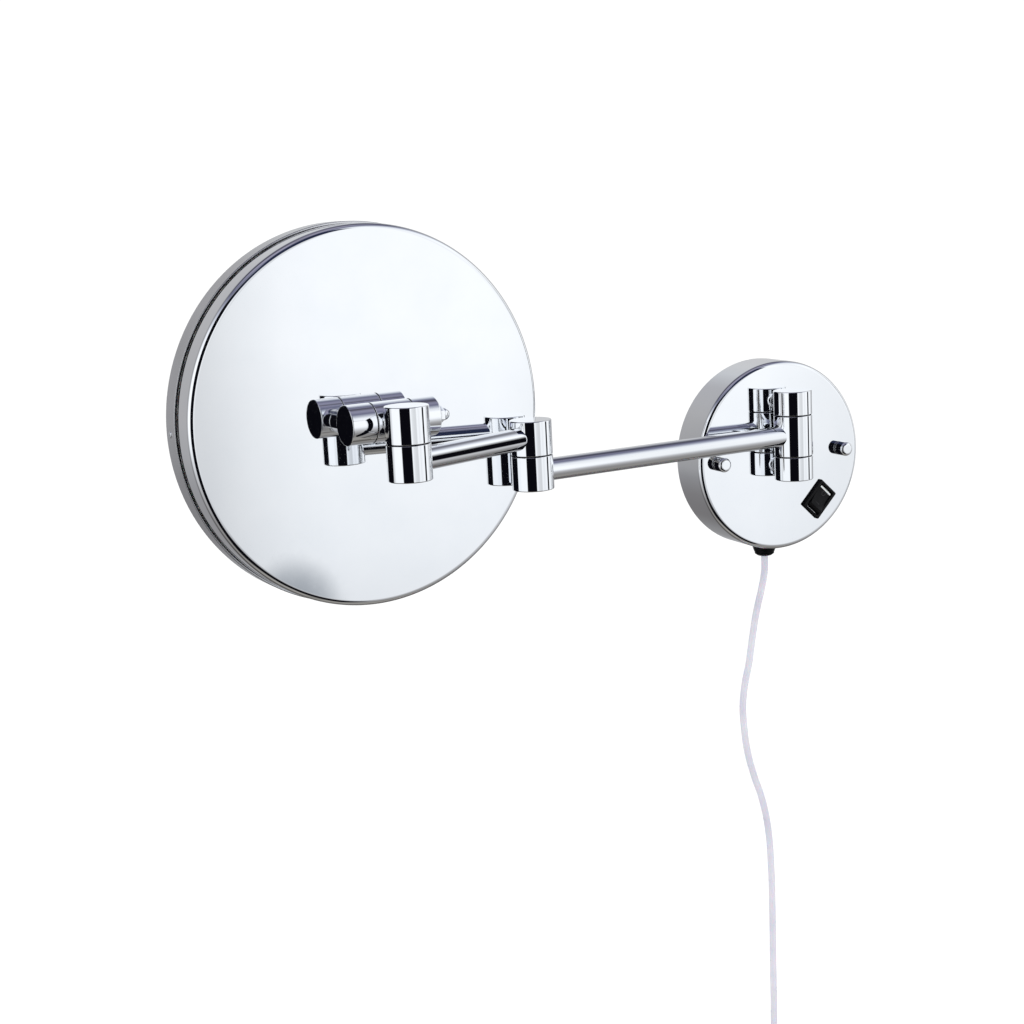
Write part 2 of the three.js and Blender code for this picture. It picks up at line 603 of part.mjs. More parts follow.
// The plug's front outline, cut by its side outline
function plugBody() {
  const { z, relief, width, body, thickness, shoulder, corner } = PLUG;
  const half = width / 2;
  const top = z - GAP;
  const neck = z - relief;
  const low = neck - body;
  const bend = neck - body * shoulder;
  const [topHalf, neckHalf] = [3.8, 5.5];
  const front = new THREE.Shape();
  front.moveTo(-half + corner, low);
  front.lineTo(half - corner, low);
  front.quadraticCurveTo(half, low, half, low + corner);
  front.lineTo(half, bend);
  front.quadraticCurveTo(half - 2 * corner, neck - 2 * corner, neckHalf, neck);
  front.lineTo(topHalf, top);
  front.lineTo(-topHalf, top);
  front.lineTo(-neckHalf, neck);
  front.quadraticCurveTo(-half + 2 * corner, neck - 2 * corner, -half, bend);
  front.lineTo(-half, low + corner);
  front.quadraticCurveTo(-half, low, -half + corner, low);
  const slab = new THREE.ExtrudeGeometry(front, { depth: thickness, bevelEnabled: false, curveSegments: 6 });
  slab.translate(0, 0, -thickness / 2).rotateX(Math.PI / 2);
  const deep = thickness / 2;
  const [topDeep, neckDeep] = [3.6, 4];
  const side = new THREE.Shape();
  side.moveTo(-deep, low - PAST);
  side.lineTo(deep, low - PAST);
  side.lineTo(deep, neck - 2 * neckDeep);
  side.lineTo(neckDeep, neck);
  side.lineTo(topDeep, top + PAST);
  side.lineTo(-topDeep, top + PAST);
  side.lineTo(-neckDeep, neck);
  side.lineTo(-deep, neck - 2 * neckDeep);
  const wedge = new THREE.ExtrudeGeometry(side, { depth: 2 * width, bevelEnabled: false });
  wedge.translate(0, 0, -width).rotateX(Math.PI / 2).rotateZ(Math.PI / 2);
  return solid(slab.translate(hangX, CORD_Y, 0)).intersect(solid(wedge.translate(hangX, CORD_Y, 0)));
}

function cord(root) {
  const arrive = quarter(hangZ, 180, 270);
  const leave = quarter(coilZ - COIL.radius - COIL.lane - COIL.leadIn, 90, 180);
  place(root, "cord_tube", PALE_CORD, cordTube([...CORD_ROUTE, ...arrive.slice(1)], 48));
  place(root, "cord_coil", PALE_CORD, coilSolid(bundle));
  place(root, "cord_tie", BLACK, coilTie());
  place(root, "cord_tail", PALE_CORD, cordTube([...leave, [hangX, PLUG.z]], 10));
  place(root, "plug_body", WHITE, plugBody());
  const { radius, length, pitch } = PLUG_PIN;
  const face = PLUG.z - PLUG.relief - PLUG.body;
  for (const [side, sign] of [["left", -1], ["right", 1]]) {
    const at = [hangX + (sign * pitch) / 2, CORD_Y, 0];
    place(root, `plug_pin_${side}`, BRASS, disk(radius, face - length, face - GAP, { facets: SMALL, at }));
  }
}

const root = new THREE.Group();
wallPlate(root);
electrics(root);
rockerSwitch(root);
wallKnuckle(root);
const swivel = swivelBlock(shortArm(longArm(root)));
const mirror = group(swivel, [0, HEAD.tiltAxis, 0]);
tiltEars(mirror);
mirrorHead(mirror);
cord(root);

export default root;
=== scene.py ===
import json
import math

import bmesh
import bpy
from mathutils import Matrix, Vector


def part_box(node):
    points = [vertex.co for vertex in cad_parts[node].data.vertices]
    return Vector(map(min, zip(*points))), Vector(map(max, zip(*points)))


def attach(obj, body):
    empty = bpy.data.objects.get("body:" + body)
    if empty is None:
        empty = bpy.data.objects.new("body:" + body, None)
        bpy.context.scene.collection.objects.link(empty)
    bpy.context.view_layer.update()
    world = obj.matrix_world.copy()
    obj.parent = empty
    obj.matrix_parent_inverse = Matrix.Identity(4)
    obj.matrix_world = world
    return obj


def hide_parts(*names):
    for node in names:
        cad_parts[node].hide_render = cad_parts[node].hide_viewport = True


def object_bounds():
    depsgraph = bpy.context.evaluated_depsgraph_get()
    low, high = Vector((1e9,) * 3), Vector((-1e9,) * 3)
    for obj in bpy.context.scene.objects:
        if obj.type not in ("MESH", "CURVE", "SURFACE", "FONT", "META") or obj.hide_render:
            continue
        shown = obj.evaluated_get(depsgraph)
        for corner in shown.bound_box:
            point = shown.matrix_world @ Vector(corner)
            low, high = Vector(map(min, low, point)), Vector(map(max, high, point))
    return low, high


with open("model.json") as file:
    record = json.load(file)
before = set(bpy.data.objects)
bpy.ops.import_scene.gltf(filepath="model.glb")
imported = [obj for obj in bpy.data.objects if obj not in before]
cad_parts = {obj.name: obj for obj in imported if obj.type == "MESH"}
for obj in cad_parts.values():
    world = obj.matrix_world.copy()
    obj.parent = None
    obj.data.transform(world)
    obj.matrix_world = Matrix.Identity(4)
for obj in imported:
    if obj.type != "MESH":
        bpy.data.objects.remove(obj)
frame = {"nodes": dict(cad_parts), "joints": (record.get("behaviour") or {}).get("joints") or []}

# An extendable shaving mirror: a round wall plate, a two-link chrome arm and a lit round mirror head.
# Sizes are in millimetres and become metres when a mesh is made.
MM = 0.001
cad_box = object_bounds()
scene = bpy.context.scene
scene.view_settings.view_transform = "Standard"

# ---- sizes of the looks that the frame doesn't give ----
GAP = 0.3  # between pieces that touch
EDGE = 0.35  # the small round on a machined edge
OUTER_EDGE = 0.6  # the round at a knuckle's free ends
HOLD = 0.05  # a ring this close to a rounded edge keeps the flat beside it flat
SEAM = 0.28  # from the middle of a knuckle's seam to the steel
SHARP = math.radians(32)  # edges that turn more are shaded sharp
FINE = 240  # facets round the widest pieces
ROUND = 96  # facets round a knuckle
SMALL = 48  # facets round a stub or a washer
PLATE_FILLET = 3
PLATE_WALL = 1.2
KNUCKLE_LENGTH = 20
PIVOT_HEAD = {"radius": 5.5, "height": 4, "recess": 1.2, "flats": 5, "depth": 2.5}
BARREL = {"radius": 10.9, "middle": 23, "ear": 15.1, "stub_x": 19.5, "stub_radius": 6.4, "crown": 0.6}
HEAD_DEPTH = {"offset": 20.2, "rear": 15.9, "groove": 3.3, "total": 33.5}
CASING = {"fillet": 3.3, "wall": 1.3}
GASKET = {"inset": 0.6, "width": 7.6}
BEZEL = {"lip": 98.2, "wall": 1.5, "lip_thickness": 1.2, "fillet": 1.6}
BEZEL_SCREW = {"angles": (60, 180, 300), "height": 7}
LIGHT = {"inner": 84.6, "outer": 99.2, "thickness": 2, "recess": 1.5}
GLASS = {"radius": 84, "edge": 3, "dish": 1.6, "recess": 1.6}
TILT_WASHER = {"bore": 3.3, "radius": 5.6, "thickness": 0.8}
CAP_NUT = {"fillet": 2, "washer_bore": 2.4}
HINGE_STUB_RADIUS = 6.5
SWITCH = {"angle": 46, "length": 21, "width": 15.6, "bezel": 1.8, "reach": 8.7, "key": 10.6, "tilt": 9}
SWITCH_HOUSING = {"wall": 0.6, "corner": 0.8, "edge": 0.7, "mouth": 0.25, "depth": 9, "floor": 8.6}
ROCKER = {"root": (3.5, -3), "sector": 36, "crest": 4.1, "dish": 0.18, "edge": 0.3}
CORD_DIAMETER = 4.4
COIL = {"radius": 24, "lane": 5.07, "lead": 18, "turns": 6.5}
PLUG_RELIEF = 20


# ---- camera ----
CAMERA = {"place": (-602.789, -902.809, 169.731), "lens": 58.974,
          "yaw": 25.236, "pitch": 10.629, "roll": -2.977}


def add_camera():
    yaw, pitch, roll = (math.radians(CAMERA[turn]) for turn in ("yaw", "pitch", "roll"))
    forward = Vector((math.sin(yaw) * math.cos(pitch), math.cos(yaw) * math.cos(pitch), -math.sin(pitch)))
    right = Vector((math.cos(yaw), -math.sin(yaw), 0))
    up = right.cross(forward)
    level_right = math.cos(roll) * right + math.sin(roll) * up
    level_up = math.cos(roll) * up - math.sin(roll) * right
    data = bpy.data.cameras.new("camera")
    data.lens = CAMERA["lens"]
    data.sensor_width = 36
    camera = bpy.data.objects.new("camera", data)
    axes = Matrix((level_right, level_up, -forward)).transposed().to_4x4()
    camera.matrix_world = Matrix.Translation(Vector(CAMERA["place"]) * MM) @ axes
    scene.collection.objects.link(camera)
    scene.camera = camera


add_camera()

# ---- cord: it hangs from the gland, is wound into a tied coil, and ends in a plug ----
CORD_ROUTE = [
    (-4, -66.3), (-4, -71), (-4.4, -77), (-6.6, -87), (-11.6, -104), (-15.4, -122), (-18, -136),
    (-21.6, -150), (-23.6, -164), (-23.2, -178), (-20.8, -197), (-16.6, -213), (-10.6, -231), (-6.4, -252),
    (-4.6, -280), (-4.4, -310), (-4.8, -345), (-5, -375), (-5, -400),
]
cord_y = (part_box("cord_tube")[0].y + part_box("cord_tube")[1].y) / 2 / MM
hang_x, hang_z = CORD_ROUTE[-1]
coil_x = hang_x + COIL["lead"]
coil_z = hang_z - COIL["lead"] - COIL["radius"] - COIL["lane"]
plug_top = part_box("plug_body")[1].z / MM


def cord_points():
    """The cord's middle from the gland to the plug, in millimetres."""
    points = [Vector((x, cord_y, z)) for x, z in CORD_ROUTE]
    bend, lead = 6, COIL["lead"]
    for i in range(1, bend):
        a = math.pi + math.pi / 2 * i / bend
        points.append(Vector((coil_x + lead * math.cos(a), cord_y, hang_z + lead * math.sin(a))))
    # Seven lanes round an open middle: each turn moves the cord on by one lane, so no turn crosses another
    steps_a_turn, lanes = 24, 7
    for i in range(int(COIL["turns"] * steps_a_turn) + 1):
        turn = i / steps_a_turn
        lane = 2 * math.pi * turn / lanes
        radius = COIL["radius"] + COIL["lane"] * math.cos(lane)
        a = math.pi / 2 - 2 * math.pi * turn
        y = cord_y + COIL["lane"] * math.sin(lane)
        points.append(Vector((coil_x + radius * math.cos(a), y, coil_z + radius * math.sin(a))))
    last = points[-1]
    for i in range(1, bend + 1):
        a = math.pi / 2 + math.pi / 2 * i / bend
        y = last.y + (cord_y - last.y) * i / bend
        points.append(Vector((coil_x + lead * math.cos(a), y, last.z - lead + lead * math.sin(a))))
    points.append(Vector((hang_x, cord_y, plug_top - 1)))
    return points


def add_cord():
    points = cord_points()
    curve = bpy.data.curves.new("mains_cord", "CURVE")
    curve.dimensions = "3D"
    curve.bevel_depth = CORD_DIAMETER / 2 * MM
    curve.bevel_resolution = 6
    curve.resolution_u = 6
    curve.use_fill_caps = True
    spline = curve.splines.new("BEZIER")
    spline.bezier_points.add(len(points) - 1)
    for point, middle in zip(spline.bezier_points, points):
        point.co = middle * MM
        point.handle_left_type = point.handle_right_type = "AUTO"
    drawn = bpy.data.objects.new("mains_cord_curve", curve)
    tube = bpy.data.meshes.new_from_object(drawn)
    tube.name = "mains_cord"
    curve.bevel_depth = 0
    centreline = [tuple(v.co) for v in bpy.data.meshes.new_from_object(drawn).vertices]
    bpy.data.objects.remove(drawn)
    made = bpy.data.objects.new("mains_cord", tube)
    scene.collection.objects.link(made)
    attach(made, "wall_plate")
    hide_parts("cord_tube", "cord_coil", "cord_tail")
    return made, centreline


cord, cord_line = add_cord()


# ---- materials ----
NOISE_LOW, NOISE_HIGH = 0.3, 0.7  # where most of a noise's values lie


def ramp_node(tree, source, stops):
    """Colours along the source, as (place, colour) stops."""
    node = tree.nodes.new("ShaderNodeValToRGB")
    elements = node.color_ramp.elements
    while len(elements) < len(stops):
        elements.new(0.5)
    for element, (place, colour) in zip(elements, stops):
        element.position = place
        element.color = (*colour, 1)
    tree.links.new(source, node.inputs["Fac"])
    return node.outputs["Color"]


class Nodes:
    """A material and its nodes, on the object's own coordinates."""

    def __init__(self, name, **sockets):
        self.material = bpy.data.materials.new(name)
        self.material.use_nodes = True
        self.tree = self.material.node_tree
        self.shader = self.tree.nodes["Principled BSDF"]
        for socket, value in sockets.items():
            self.shader.inputs[socket.replace("_", " ")].default_value = value
        self.place = self.tree.nodes.new("ShaderNodeTexCoord").outputs["Object"]

    def link(self, source, socket):
        target = self.shader.inputs[socket] if isinstance(socket, str) else socket
        self.tree.links.new(source, target)

    def stretched(self, x, y, z):
        mapping = self.tree.nodes.new("ShaderNodeMapping")
        mapping.inputs["Scale"].default_value = (x, y, z)
        self.link(self.place, mapping.inputs["Vector"])
        return mapping.outputs["Vector"]

    def noise(self, scale, detail=3, place=None):
        noise = self.tree.nodes.new("ShaderNodeTexNoise")
        noise.inputs["Scale"].default_value = scale
        noise.inputs["Detail"].default_value = detail
        self.link(place or self.place, noise.inputs["Vector"])
        return noise.outputs["Fac"]

    def wave(self, scale, axis, distortion=0.0):
        wave = self.tree.nodes.new("ShaderNodeTexWave")
        wave.bands_direction = axis
        wave.inputs["Scale"].default_value = scale
        wave.inputs["Distortion"].default_value = distortion
        self.link(self.place, wave.inputs["Vector"])
        return wave.outputs["Fac"]

    def spread(self, source, low, high):
        """A noise's middle values, moved to low to high."""
        node = self.tree.nodes.new("ShaderNodeMapRange")
        node.inputs["From Min"].default_value = NOISE_LOW
        node.inputs["From Max"].default_value = NOISE_HIGH
        node.inputs["To Min"].default_value = low
        node.inputs["To Max"].default_value = high
        self.link(source, node.inputs["Value"])
        return node.outputs["Result"]

    def ramp(self, source, *stops):
        return ramp_node(self.tree, source, stops)

    def clouds(self, scale, detail, low, high):
        """Base colour that drifts between two colours."""
        self.link(self.ramp(self.noise(scale, detail), (NOISE_LOW, low), (NOISE_HIGH, high)), "Base Color")

    def bump(self, height, distance):
        node = self.tree.nodes.new("ShaderNodeBump")
        node.inputs["Distance"].default_value = distance
        node.inputs["Strength"].default_value = 1.0
        self.link(height, node.inputs["Height"])
        return node.outputs["Normal"]


def metal(name, low, high, rough_low, rough_high, waviness=0.0):
    """A plated or plain metal whose polish varies from place to place."""
    nodes = Nodes(name, Metallic=1)
    nodes.clouds(38, 4, low, high)
    nodes.link(nodes.spread(nodes.noise(210, 5), rough_low, rough_high), "Roughness")
    if waviness:
        nodes.link(nodes.bump(nodes.noise(26, 1), waviness), "Normal")
    return nodes


def chrome():
    low, high = (0.91, 0.925, 0.945), (0.94, 0.95, 0.965)
    return metal("polished_chrome", low, high, 0.012, 0.045, waviness=0.000012).material


def satin_chrome():
    return metal("satin_chrome", (0.6, 0.6, 0.61), (0.67, 0.67, 0.69), 0.1, 0.16).material


def steel():
    nodes = metal("brushed_steel", (0.46, 0.47, 0.49), (0.6, 0.61, 0.63), 0.26, 0.42)
    lines = nodes.noise(60, 4, nodes.stretched(1, 1, 40))
    nodes.link(nodes.bump(lines, 0.00002), "Normal")
    return nodes.material


def brass():
    nodes = metal("nickelled_brass", (0.66, 0.56, 0.34), (0.78, 0.68, 0.43), 0.16, 0.3)
    nodes.link(nodes.bump(nodes.wave(420, "Z", 0.6), 0.000006), "Normal")
    return nodes.material


def plastic(name, low, high, rough_low, rough_high, grain_scale, grain, **sockets):
    """A moulded plastic: faint colour clouds, a fine spark-eroded grain and rubbed, shinier patches."""
    nodes = Nodes(name, **sockets)
    nodes.clouds(55, 4, low, high)
    nodes.link(nodes.spread(nodes.noise(130, 4), rough_low, rough_high), "Roughness")
    nodes.link(nodes.bump(nodes.noise(grain_scale, 2), grain), "Normal")
    return nodes.material


def black_plastic():
    return plastic("black_plastic", (0.002, 0.002, 0.0025), (0.005, 0.005, 0.006), 0.3, 0.45, 2600, 0.00002,
                   Specular_IOR_Level=0.14)


def nylon():
    return plastic("black_nylon", (0.003, 0.003, 0.004), (0.009, 0.009, 0.011), 0.45, 0.65, 1800, 0.00002,
                   Specular_IOR_Level=0.04)


def white_plastic():
    return plastic("white_plastic", (0.6, 0.6, 0.61), (0.68, 0.68, 0.67), 0.3, 0.46, 1500, 0.000025,
                   Subsurface_Weight=0.1, Subsurface_Scale=0.002)


def frosted():
    return plastic("frosted_acrylic", (0.7, 0.71, 0.73), (0.77, 0.78, 0.79), 0.42, 0.58, 3000, 0.00002,
                   Subsurface_Weight=0.35, Subsurface_Scale=0.004, Coat_Weight=0.15, Coat_Roughness=0.3)


def tie_plastic():
    return plastic("tie_wire", (0.012, 0.012, 0.014), (0.03, 0.03, 0.033), 0.4, 0.6, 900, 0.00005)


def cord_sheath():
    nodes = Nodes("milky_cord", Subsurface_Weight=0.3, Subsurface_Scale=0.003, Specular_IOR_Level=0.45)
    nodes.clouds(48, 3, (0.56, 0.565, 0.65), (0.66, 0.665, 0.73))
    nodes.link(nodes.spread(nodes.noise(160, 4), 0.24, 0.4), "Roughness")
    nodes.link(nodes.bump(nodes.noise(700, 3, nodes.stretched(1, 1, 0.2)), 0.00003), "Normal")
    return nodes.material


def board():
    """White solder mask with fine copper tracks under it."""
    nodes = Nodes("circuit_board", Coat_Weight=0.3, Coat_Roughness=0.2)
    mask, copper = (0.84, 0.85, 0.82), (0.62, 0.63, 0.55)
    tracks = nodes.wave(90, "DIAGONAL", 3)
    nodes.link(nodes.ramp(tracks, (0.0, mask), (0.86, mask), (0.95, copper)), "Base Color")
    nodes.link(nodes.spread(nodes.noise(300, 3), 0.4, 0.6), "Roughness")
    nodes.link(nodes.bump(tracks, 0.00002), "Normal")
    return nodes.material


def silvered():
    nodes = Nodes("silvered_glass", Metallic=1, Coat_Weight=1, Coat_Roughness=0.01, Coat_IOR=1.5)
    nodes.clouds(12, 2, (0.87, 0.9, 0.9), (0.9, 0.925, 0.925))
    nodes.link(nodes.spread(nodes.noise(90, 4), 0.0, 0.012), "Roughness")
    return nodes.material


MATERIALS = {
    "chrome": chrome(),
    "satin_chrome": satin_chrome(),
    "steel": steel(),
    "brass": brass(),
    "black_plastic": black_plastic(),
    "black_nylon": nylon(),
    "white_plastic": white_plastic(),
    "frosted": frosted(),
    "board": board(),
    "silvered": silvered(),
    "cord": cord_sheath(),
    "tie": tie_plastic(),
}
cord.data.materials.append(MATERIALS["cord"])

# ---- mesh tools ----
# A part's own Z axis turned to another direction
TURNS = {
    "z": Matrix.Identity(4),
    "x": Matrix.Rotation(math.pi / 2, 4, "Y"),
    "front": Matrix.Rotation(math.pi / 2, 4, "X"),
    "back": Matrix.Rotation(-math.pi / 2, 4, "X"),
}


def circle(_):
    return 1.0


def hexagon(a):
    """An outline with six flats, as a share of the half width across them."""
    sixth = math.pi / 3
    return 1 / math.cos((a % sixth) - sixth / 2)


def cross(a):
    """A cross-shaped outline, as a share of the arms' reach."""
    arm = 0.3
    c, s = max(abs(math.cos(a)), abs(math.sin(a))), min(abs(math.cos(a)), abs(math.sin(a)))
    return min(1 / c, arm / max(s, 1e-6)) if s < arm * c else arm / s


def rounded(corners, steps=6):
    """A profile of (radius, height) points with its corners rounded: a corner's third number is its round."""
    points = []
    for i, corner in enumerate(corners):
        here = Vector(corner[:2])
        size = corner[2] if len(corner) > 2 else 0
        if not size:
            points.append(here)
            continue
        before = (Vector(corners[i - 1][:2]) - here).normalized()
        after = (Vector(corners[(i + 1) % len(corners)][:2]) - here).normalized()
        half = before.angle(after) / 2
        reach = size / math.tan(half)
        middle = here + (before + after).normalized() * (size / math.sin(half))
        start, end = here + before * reach - middle, here + after * reach - middle
        points.append(middle + start + before * HOLD)
        sweep = start.angle_signed(end)
        for k in range(steps + 1):
            spun_by = Matrix.Rotation(-sweep * k / steps, 2)
            points.append(middle + spun_by @ start)
        points.append(middle + end + after * HOLD)
    return [(p.x, p.y, circle) for p in points]


def spun(rings, segments=ROUND, closed=False):
    """A mesh through (radius, height, shape) rings about Z, capped where it starts and ends."""
    mesh = bmesh.new()
    loops = []
    for radius, height, shape in rings:
        if radius < 1e-6:
            loops.append([mesh.verts.new((0, 0, height))])
            continue
        loop = []
        for k in range(segments):
            a = 2 * math.pi * k / segments
            reach = radius * shape(a)
            loop.append(mesh.verts.new((reach * math.cos(a), reach * math.sin(a), height)))
        loops.append(loop)
    pairs = list(zip(loops, loops[1:])) + ([(loops[-1], loops[0])] if closed else [])
    for low, high in pairs:
        for k in range(segments):
            n = (k + 1) % segments
            corners = [low[k % len(low)], low[n % len(low)], high[n % len(high)], high[k % len(high)]]
            face = list(dict.fromkeys(corners))
            if len(face) > 2:
                mesh.faces.new(face)
    return mesh


def joined(*meshes):
    """Several closed shells in one mesh."""
    whole = bmesh.new()
    for part in meshes:
        data = bpy.data.meshes.new("shell")
        part.to_mesh(data)
        part.free()
        whole.from_mesh(data)
        bpy.data.meshes.remove(data)
    return whole


def moved(mesh, matrix):
    mesh.transform(matrix)
    return mesh


def at(x=0.0, y=0.0, z=0.0, turn="z"):
    return Matrix.Translation((x, y, z)) @ TURNS[turn]


def piece(name, mesh, frame_matrix, body, slot, *replaced, finish=None):
    """The mesh, in millimetres in its own frame, as a piece that rides on a body.

    Its material is its slot's, unless it has a finish of its own.
    """
    mesh.transform(Matrix.Scale(MM, 4) @ frame_matrix)
    bmesh.ops.remove_doubles(mesh, verts=mesh.verts, dist=1e-7)
    bmesh.ops.recalc_face_normals(mesh, faces=mesh.faces)
    for face in mesh.faces:
        face.smooth = True
    for edge in mesh.edges:
        edge.smooth = len(edge.link_faces) == 2 and edge.calc_face_angle(0) < SHARP
    data = bpy.data.meshes.new(name)
    mesh.to_mesh(data)
    mesh.free()
    data.materials.append(MATERIALS[finish or slot])
    made = bpy.data.objects.new(name, data)
    scene.collection.objects.link(made)
    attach(made, body)
    if replaced:
        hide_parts(*replaced)
    return made


def disk(radius, low, high, edge_low=EDGE, edge_high=EDGE, segments=ROUND):
    """A round bar with rounded rims."""
    return spun(rounded([(0, low), (radius, low, edge_low), (radius, high, edge_high), (0, high)]), segments)


def band(inner, outer, low, high, edge=0.15, segments=ROUND):
    """A ring with rounded rims."""
    corners = [(outer, low, edge), (outer, high, edge), (inner, high, edge), (inner, low, edge)]
    return spun(rounded(corners, 3), segments, closed=True)


def slab(length, width, low, high, corner, edge):
    """A block with rounded corners and a rounded top rim, as a closed mesh."""
    rings = []
    steps = 4
    heights = [(low, 0)] + [
        (high - edge + edge * math.sin(a), edge * (1 - math.cos(a)))
        for a in (math.pi / 2 * k / steps for k in range(steps + 1))
    ]
    for height, inset in heights:
        half_x, half_y = length / 2 - inset, width / 2 - inset
        rings.append(rounded_rectangle(half_x, half_y, corner - inset * 0.6, height, segments=32))
    return lofted(rings)


def rounded_rectangle(half_x, half_y, corner, height, segments=64):
    """A level loop of points with round corners."""
    points = []
    quarter = segments // 4
    for q, (sx, sy) in enumerate(((1, 1), (-1, 1), (-1, -1), (1, -1))):
        for k in range(quarter):
            a = math.pi / 2 * (q + k / (quarter - 1))
            x = sx * (half_x - corner) + corner * math.cos(a)
            y = sy * (half_y - corner) + corner * math.sin(a)
            points.append(Vector((x, y, height)))
    return points


def lofted(rings):
    """A mesh through rings of points, capped at both ends."""
    mesh = bmesh.new()
    loops = [[mesh.verts.new(p) for p in ring] for ring in rings]
    for low, high in zip(loops, loops[1:]):
        for k in range(len(low)):
            n = (k + 1) % len(low)
            mesh.faces.new((low[k], low[n], high[n], high[k]))
    mesh.faces.new(loops[0])
    mesh.faces.new(loops[-1])
    return mesh


# ---- frames of the moving bodies, from the joints ----
joints = {joint["name"]: joint for joint in frame["joints"]}
pivot = {name: Vector(joint["pos_m"]) / MM for name, joint in joints.items()}


def frame_at(origin, along):
    """A frame at a point with its X along a direction and its Z up the closest way."""
    x = Vector(along).normalized()
    y = Vector((0, 0, 1)).cross(x).normalized()
    z = x.cross(y)
    return Matrix.Translation(origin) @ Matrix((x, y, z)).transposed().to_4x4()


def flat(vector):
    return Vector((vector.x, vector.y, 0))


PIVOT = Matrix.Translation(pivot["wall_swing"])
LONG = frame_at(pivot["wall_swing"], pivot["wall_swing"] - pivot["elbow_swing"])
ELBOW = frame_at(pivot["elbow_swing"], pivot["wall_swing"] - pivot["elbow_swing"])
SHORT = frame_at(pivot["elbow_swing"] + Vector((0, 0, KNUCKLE_LENGTH)),
                 flat(pivot["elbow_swing"] - pivot["head_swing"]))
WRIST = frame_at(pivot["head_swing"], flat(pivot["elbow_swing"] - pivot["head_swing"]))
HEAD = frame_at(pivot["head_swing"] + Vector((0, 0, KNUCKLE_LENGTH)), joints["mirror_tilt"]["axis"])
MIRROR = frame_at(pivot["mirror_tilt"], joints["mirror_tilt"]["axis"])
tilt_y = flat(pivot["mirror_tilt"] - pivot["head_swing"]).length

plate_low, plate_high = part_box("wall_plate_cover")
plate_radius = (plate_high.x - plate_low.x) / 2 / MM
plate_depth = -plate_low.y / MM
knuckle_low, knuckle_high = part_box("wall_knuckle_top")
knuckle_radius = (knuckle_high.x - knuckle_low.x) / 2 / MM
knuckle_top = knuckle_high.z / MM - pivot["wall_swing"].z
middle_half = knuckle_low.z / MM - pivot["wall_swing"].z - SEAM
tube_radius = (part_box("long_arm_tube")[1].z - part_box("long_arm_tube")[0].z) / 2 / MM
half = KNUCKLE_LENGTH / 2


# ---- wall plate ----
def plate_cover():
    inner_radius, inner_depth = plate_radius - PLATE_WALL, plate_depth - PLATE_WALL
    profile = rounded([
        (0, plate_depth), (plate_radius, plate_depth, PLATE_FILLET), (plate_radius, 0, 0.3),
        (inner_radius, 0, 0.3), (inner_radius, inner_depth, PLATE_FILLET - PLATE_WALL), (0, inner_depth),
    ], 10)
    piece("plate_cover", spun(profile, FINE), at(turn="front"), "wall_plate", "chrome", "wall_plate_cover")


def cap_nuts():
    for side in ("left", "right"):
        low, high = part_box(f"cap_nut_{side}")
        x = (low.x + high.x) / 2 / MM
        radius = (high.z - low.z) / 2 / MM
        base, end = -high.y / MM, -low.y / MM
        profile = rounded([(0, base), (radius, base, 0.12), (radius, end, CAP_NUT["fillet"]), (0, end)], 12)
        place = at(x, turn="front")
        piece(f"wall_cap_nut_{side}", spun(profile, SMALL * 2), place, "wall_plate", "chrome",
              f"cap_nut_{side}")
        # No flange shows under the nut, so its washer is drawn as wide as the nut
        low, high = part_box(f"stud_washer_{side}")
        ring = band(CAP_NUT["washer_bore"], radius, -high.y / MM, -low.y / MM, 0.12, SMALL * 2)
        piece(f"wall_nut_washer_{side}", ring, place, "wall_plate", "chrome", f"stud_washer_{side}")


def socketed(low, high):
    """A knuckle segment with the recess for a pivot screw's head in its underside."""
    ceiling = low + PIVOT_HEAD["recess"] + PIVOT_HEAD["height"] + GAP
    bore = PIVOT_HEAD["radius"] + GAP
    return spun(rounded([
        (0, ceiling), (bore, ceiling), (bore, low, 0.25),
        (knuckle_radius, low, OUTER_EDGE), (knuckle_radius, high, EDGE), (0, high),
    ]))


def pivot_head(bottom):
    """A socket-head cap screw's head, seen from below."""
    low = bottom + PIVOT_HEAD["recess"]
    high, end = low + PIVOT_HEAD["height"], low + PIVOT_HEAD["depth"]
    radius, flats = PIVOT_HEAD["radius"], PIVOT_HEAD["flats"] / 2
    bore = [(0, end, circle), (flats, end, hexagon), (flats, low + 0.2, hexagon), (flats + 0.25, low, circle)]
    rim = rounded([(flats + 0.3, low), (radius, low, 0.4), (radius, high, 0.2), (0, high)])
    return spun(bore + rim, ROUND)


def wall_knuckle():
    stub_length = -pivot["wall_swing"].y - plate_depth - GAP
    leaves = (("bottom", -knuckle_top, -middle_half - SEAM), ("top", middle_half + SEAM, knuckle_top))
    for name, low, high in leaves:
        if name == "bottom":
            leaf = socketed(low, high)
        else:
            leaf = disk(knuckle_radius, low, high, EDGE, OUTER_EDGE)
        z = (knuckle_top + middle_half) / 2 * (1 if name == "top" else -1)
        stub = moved(disk(HINGE_STUB_RADIUS, 0, stub_length, segments=SMALL), at(0, 0, z, "back"))
        piece(f"wall_hinge_{name}", joined(leaf, stub), PIVOT, "wall_plate", "chrome", f"wall_knuckle_{name}")
    piece("wall_hinge_screw", pivot_head(-knuckle_top), PIVOT, "wall_plate", "steel", "wall_pivot_screw")


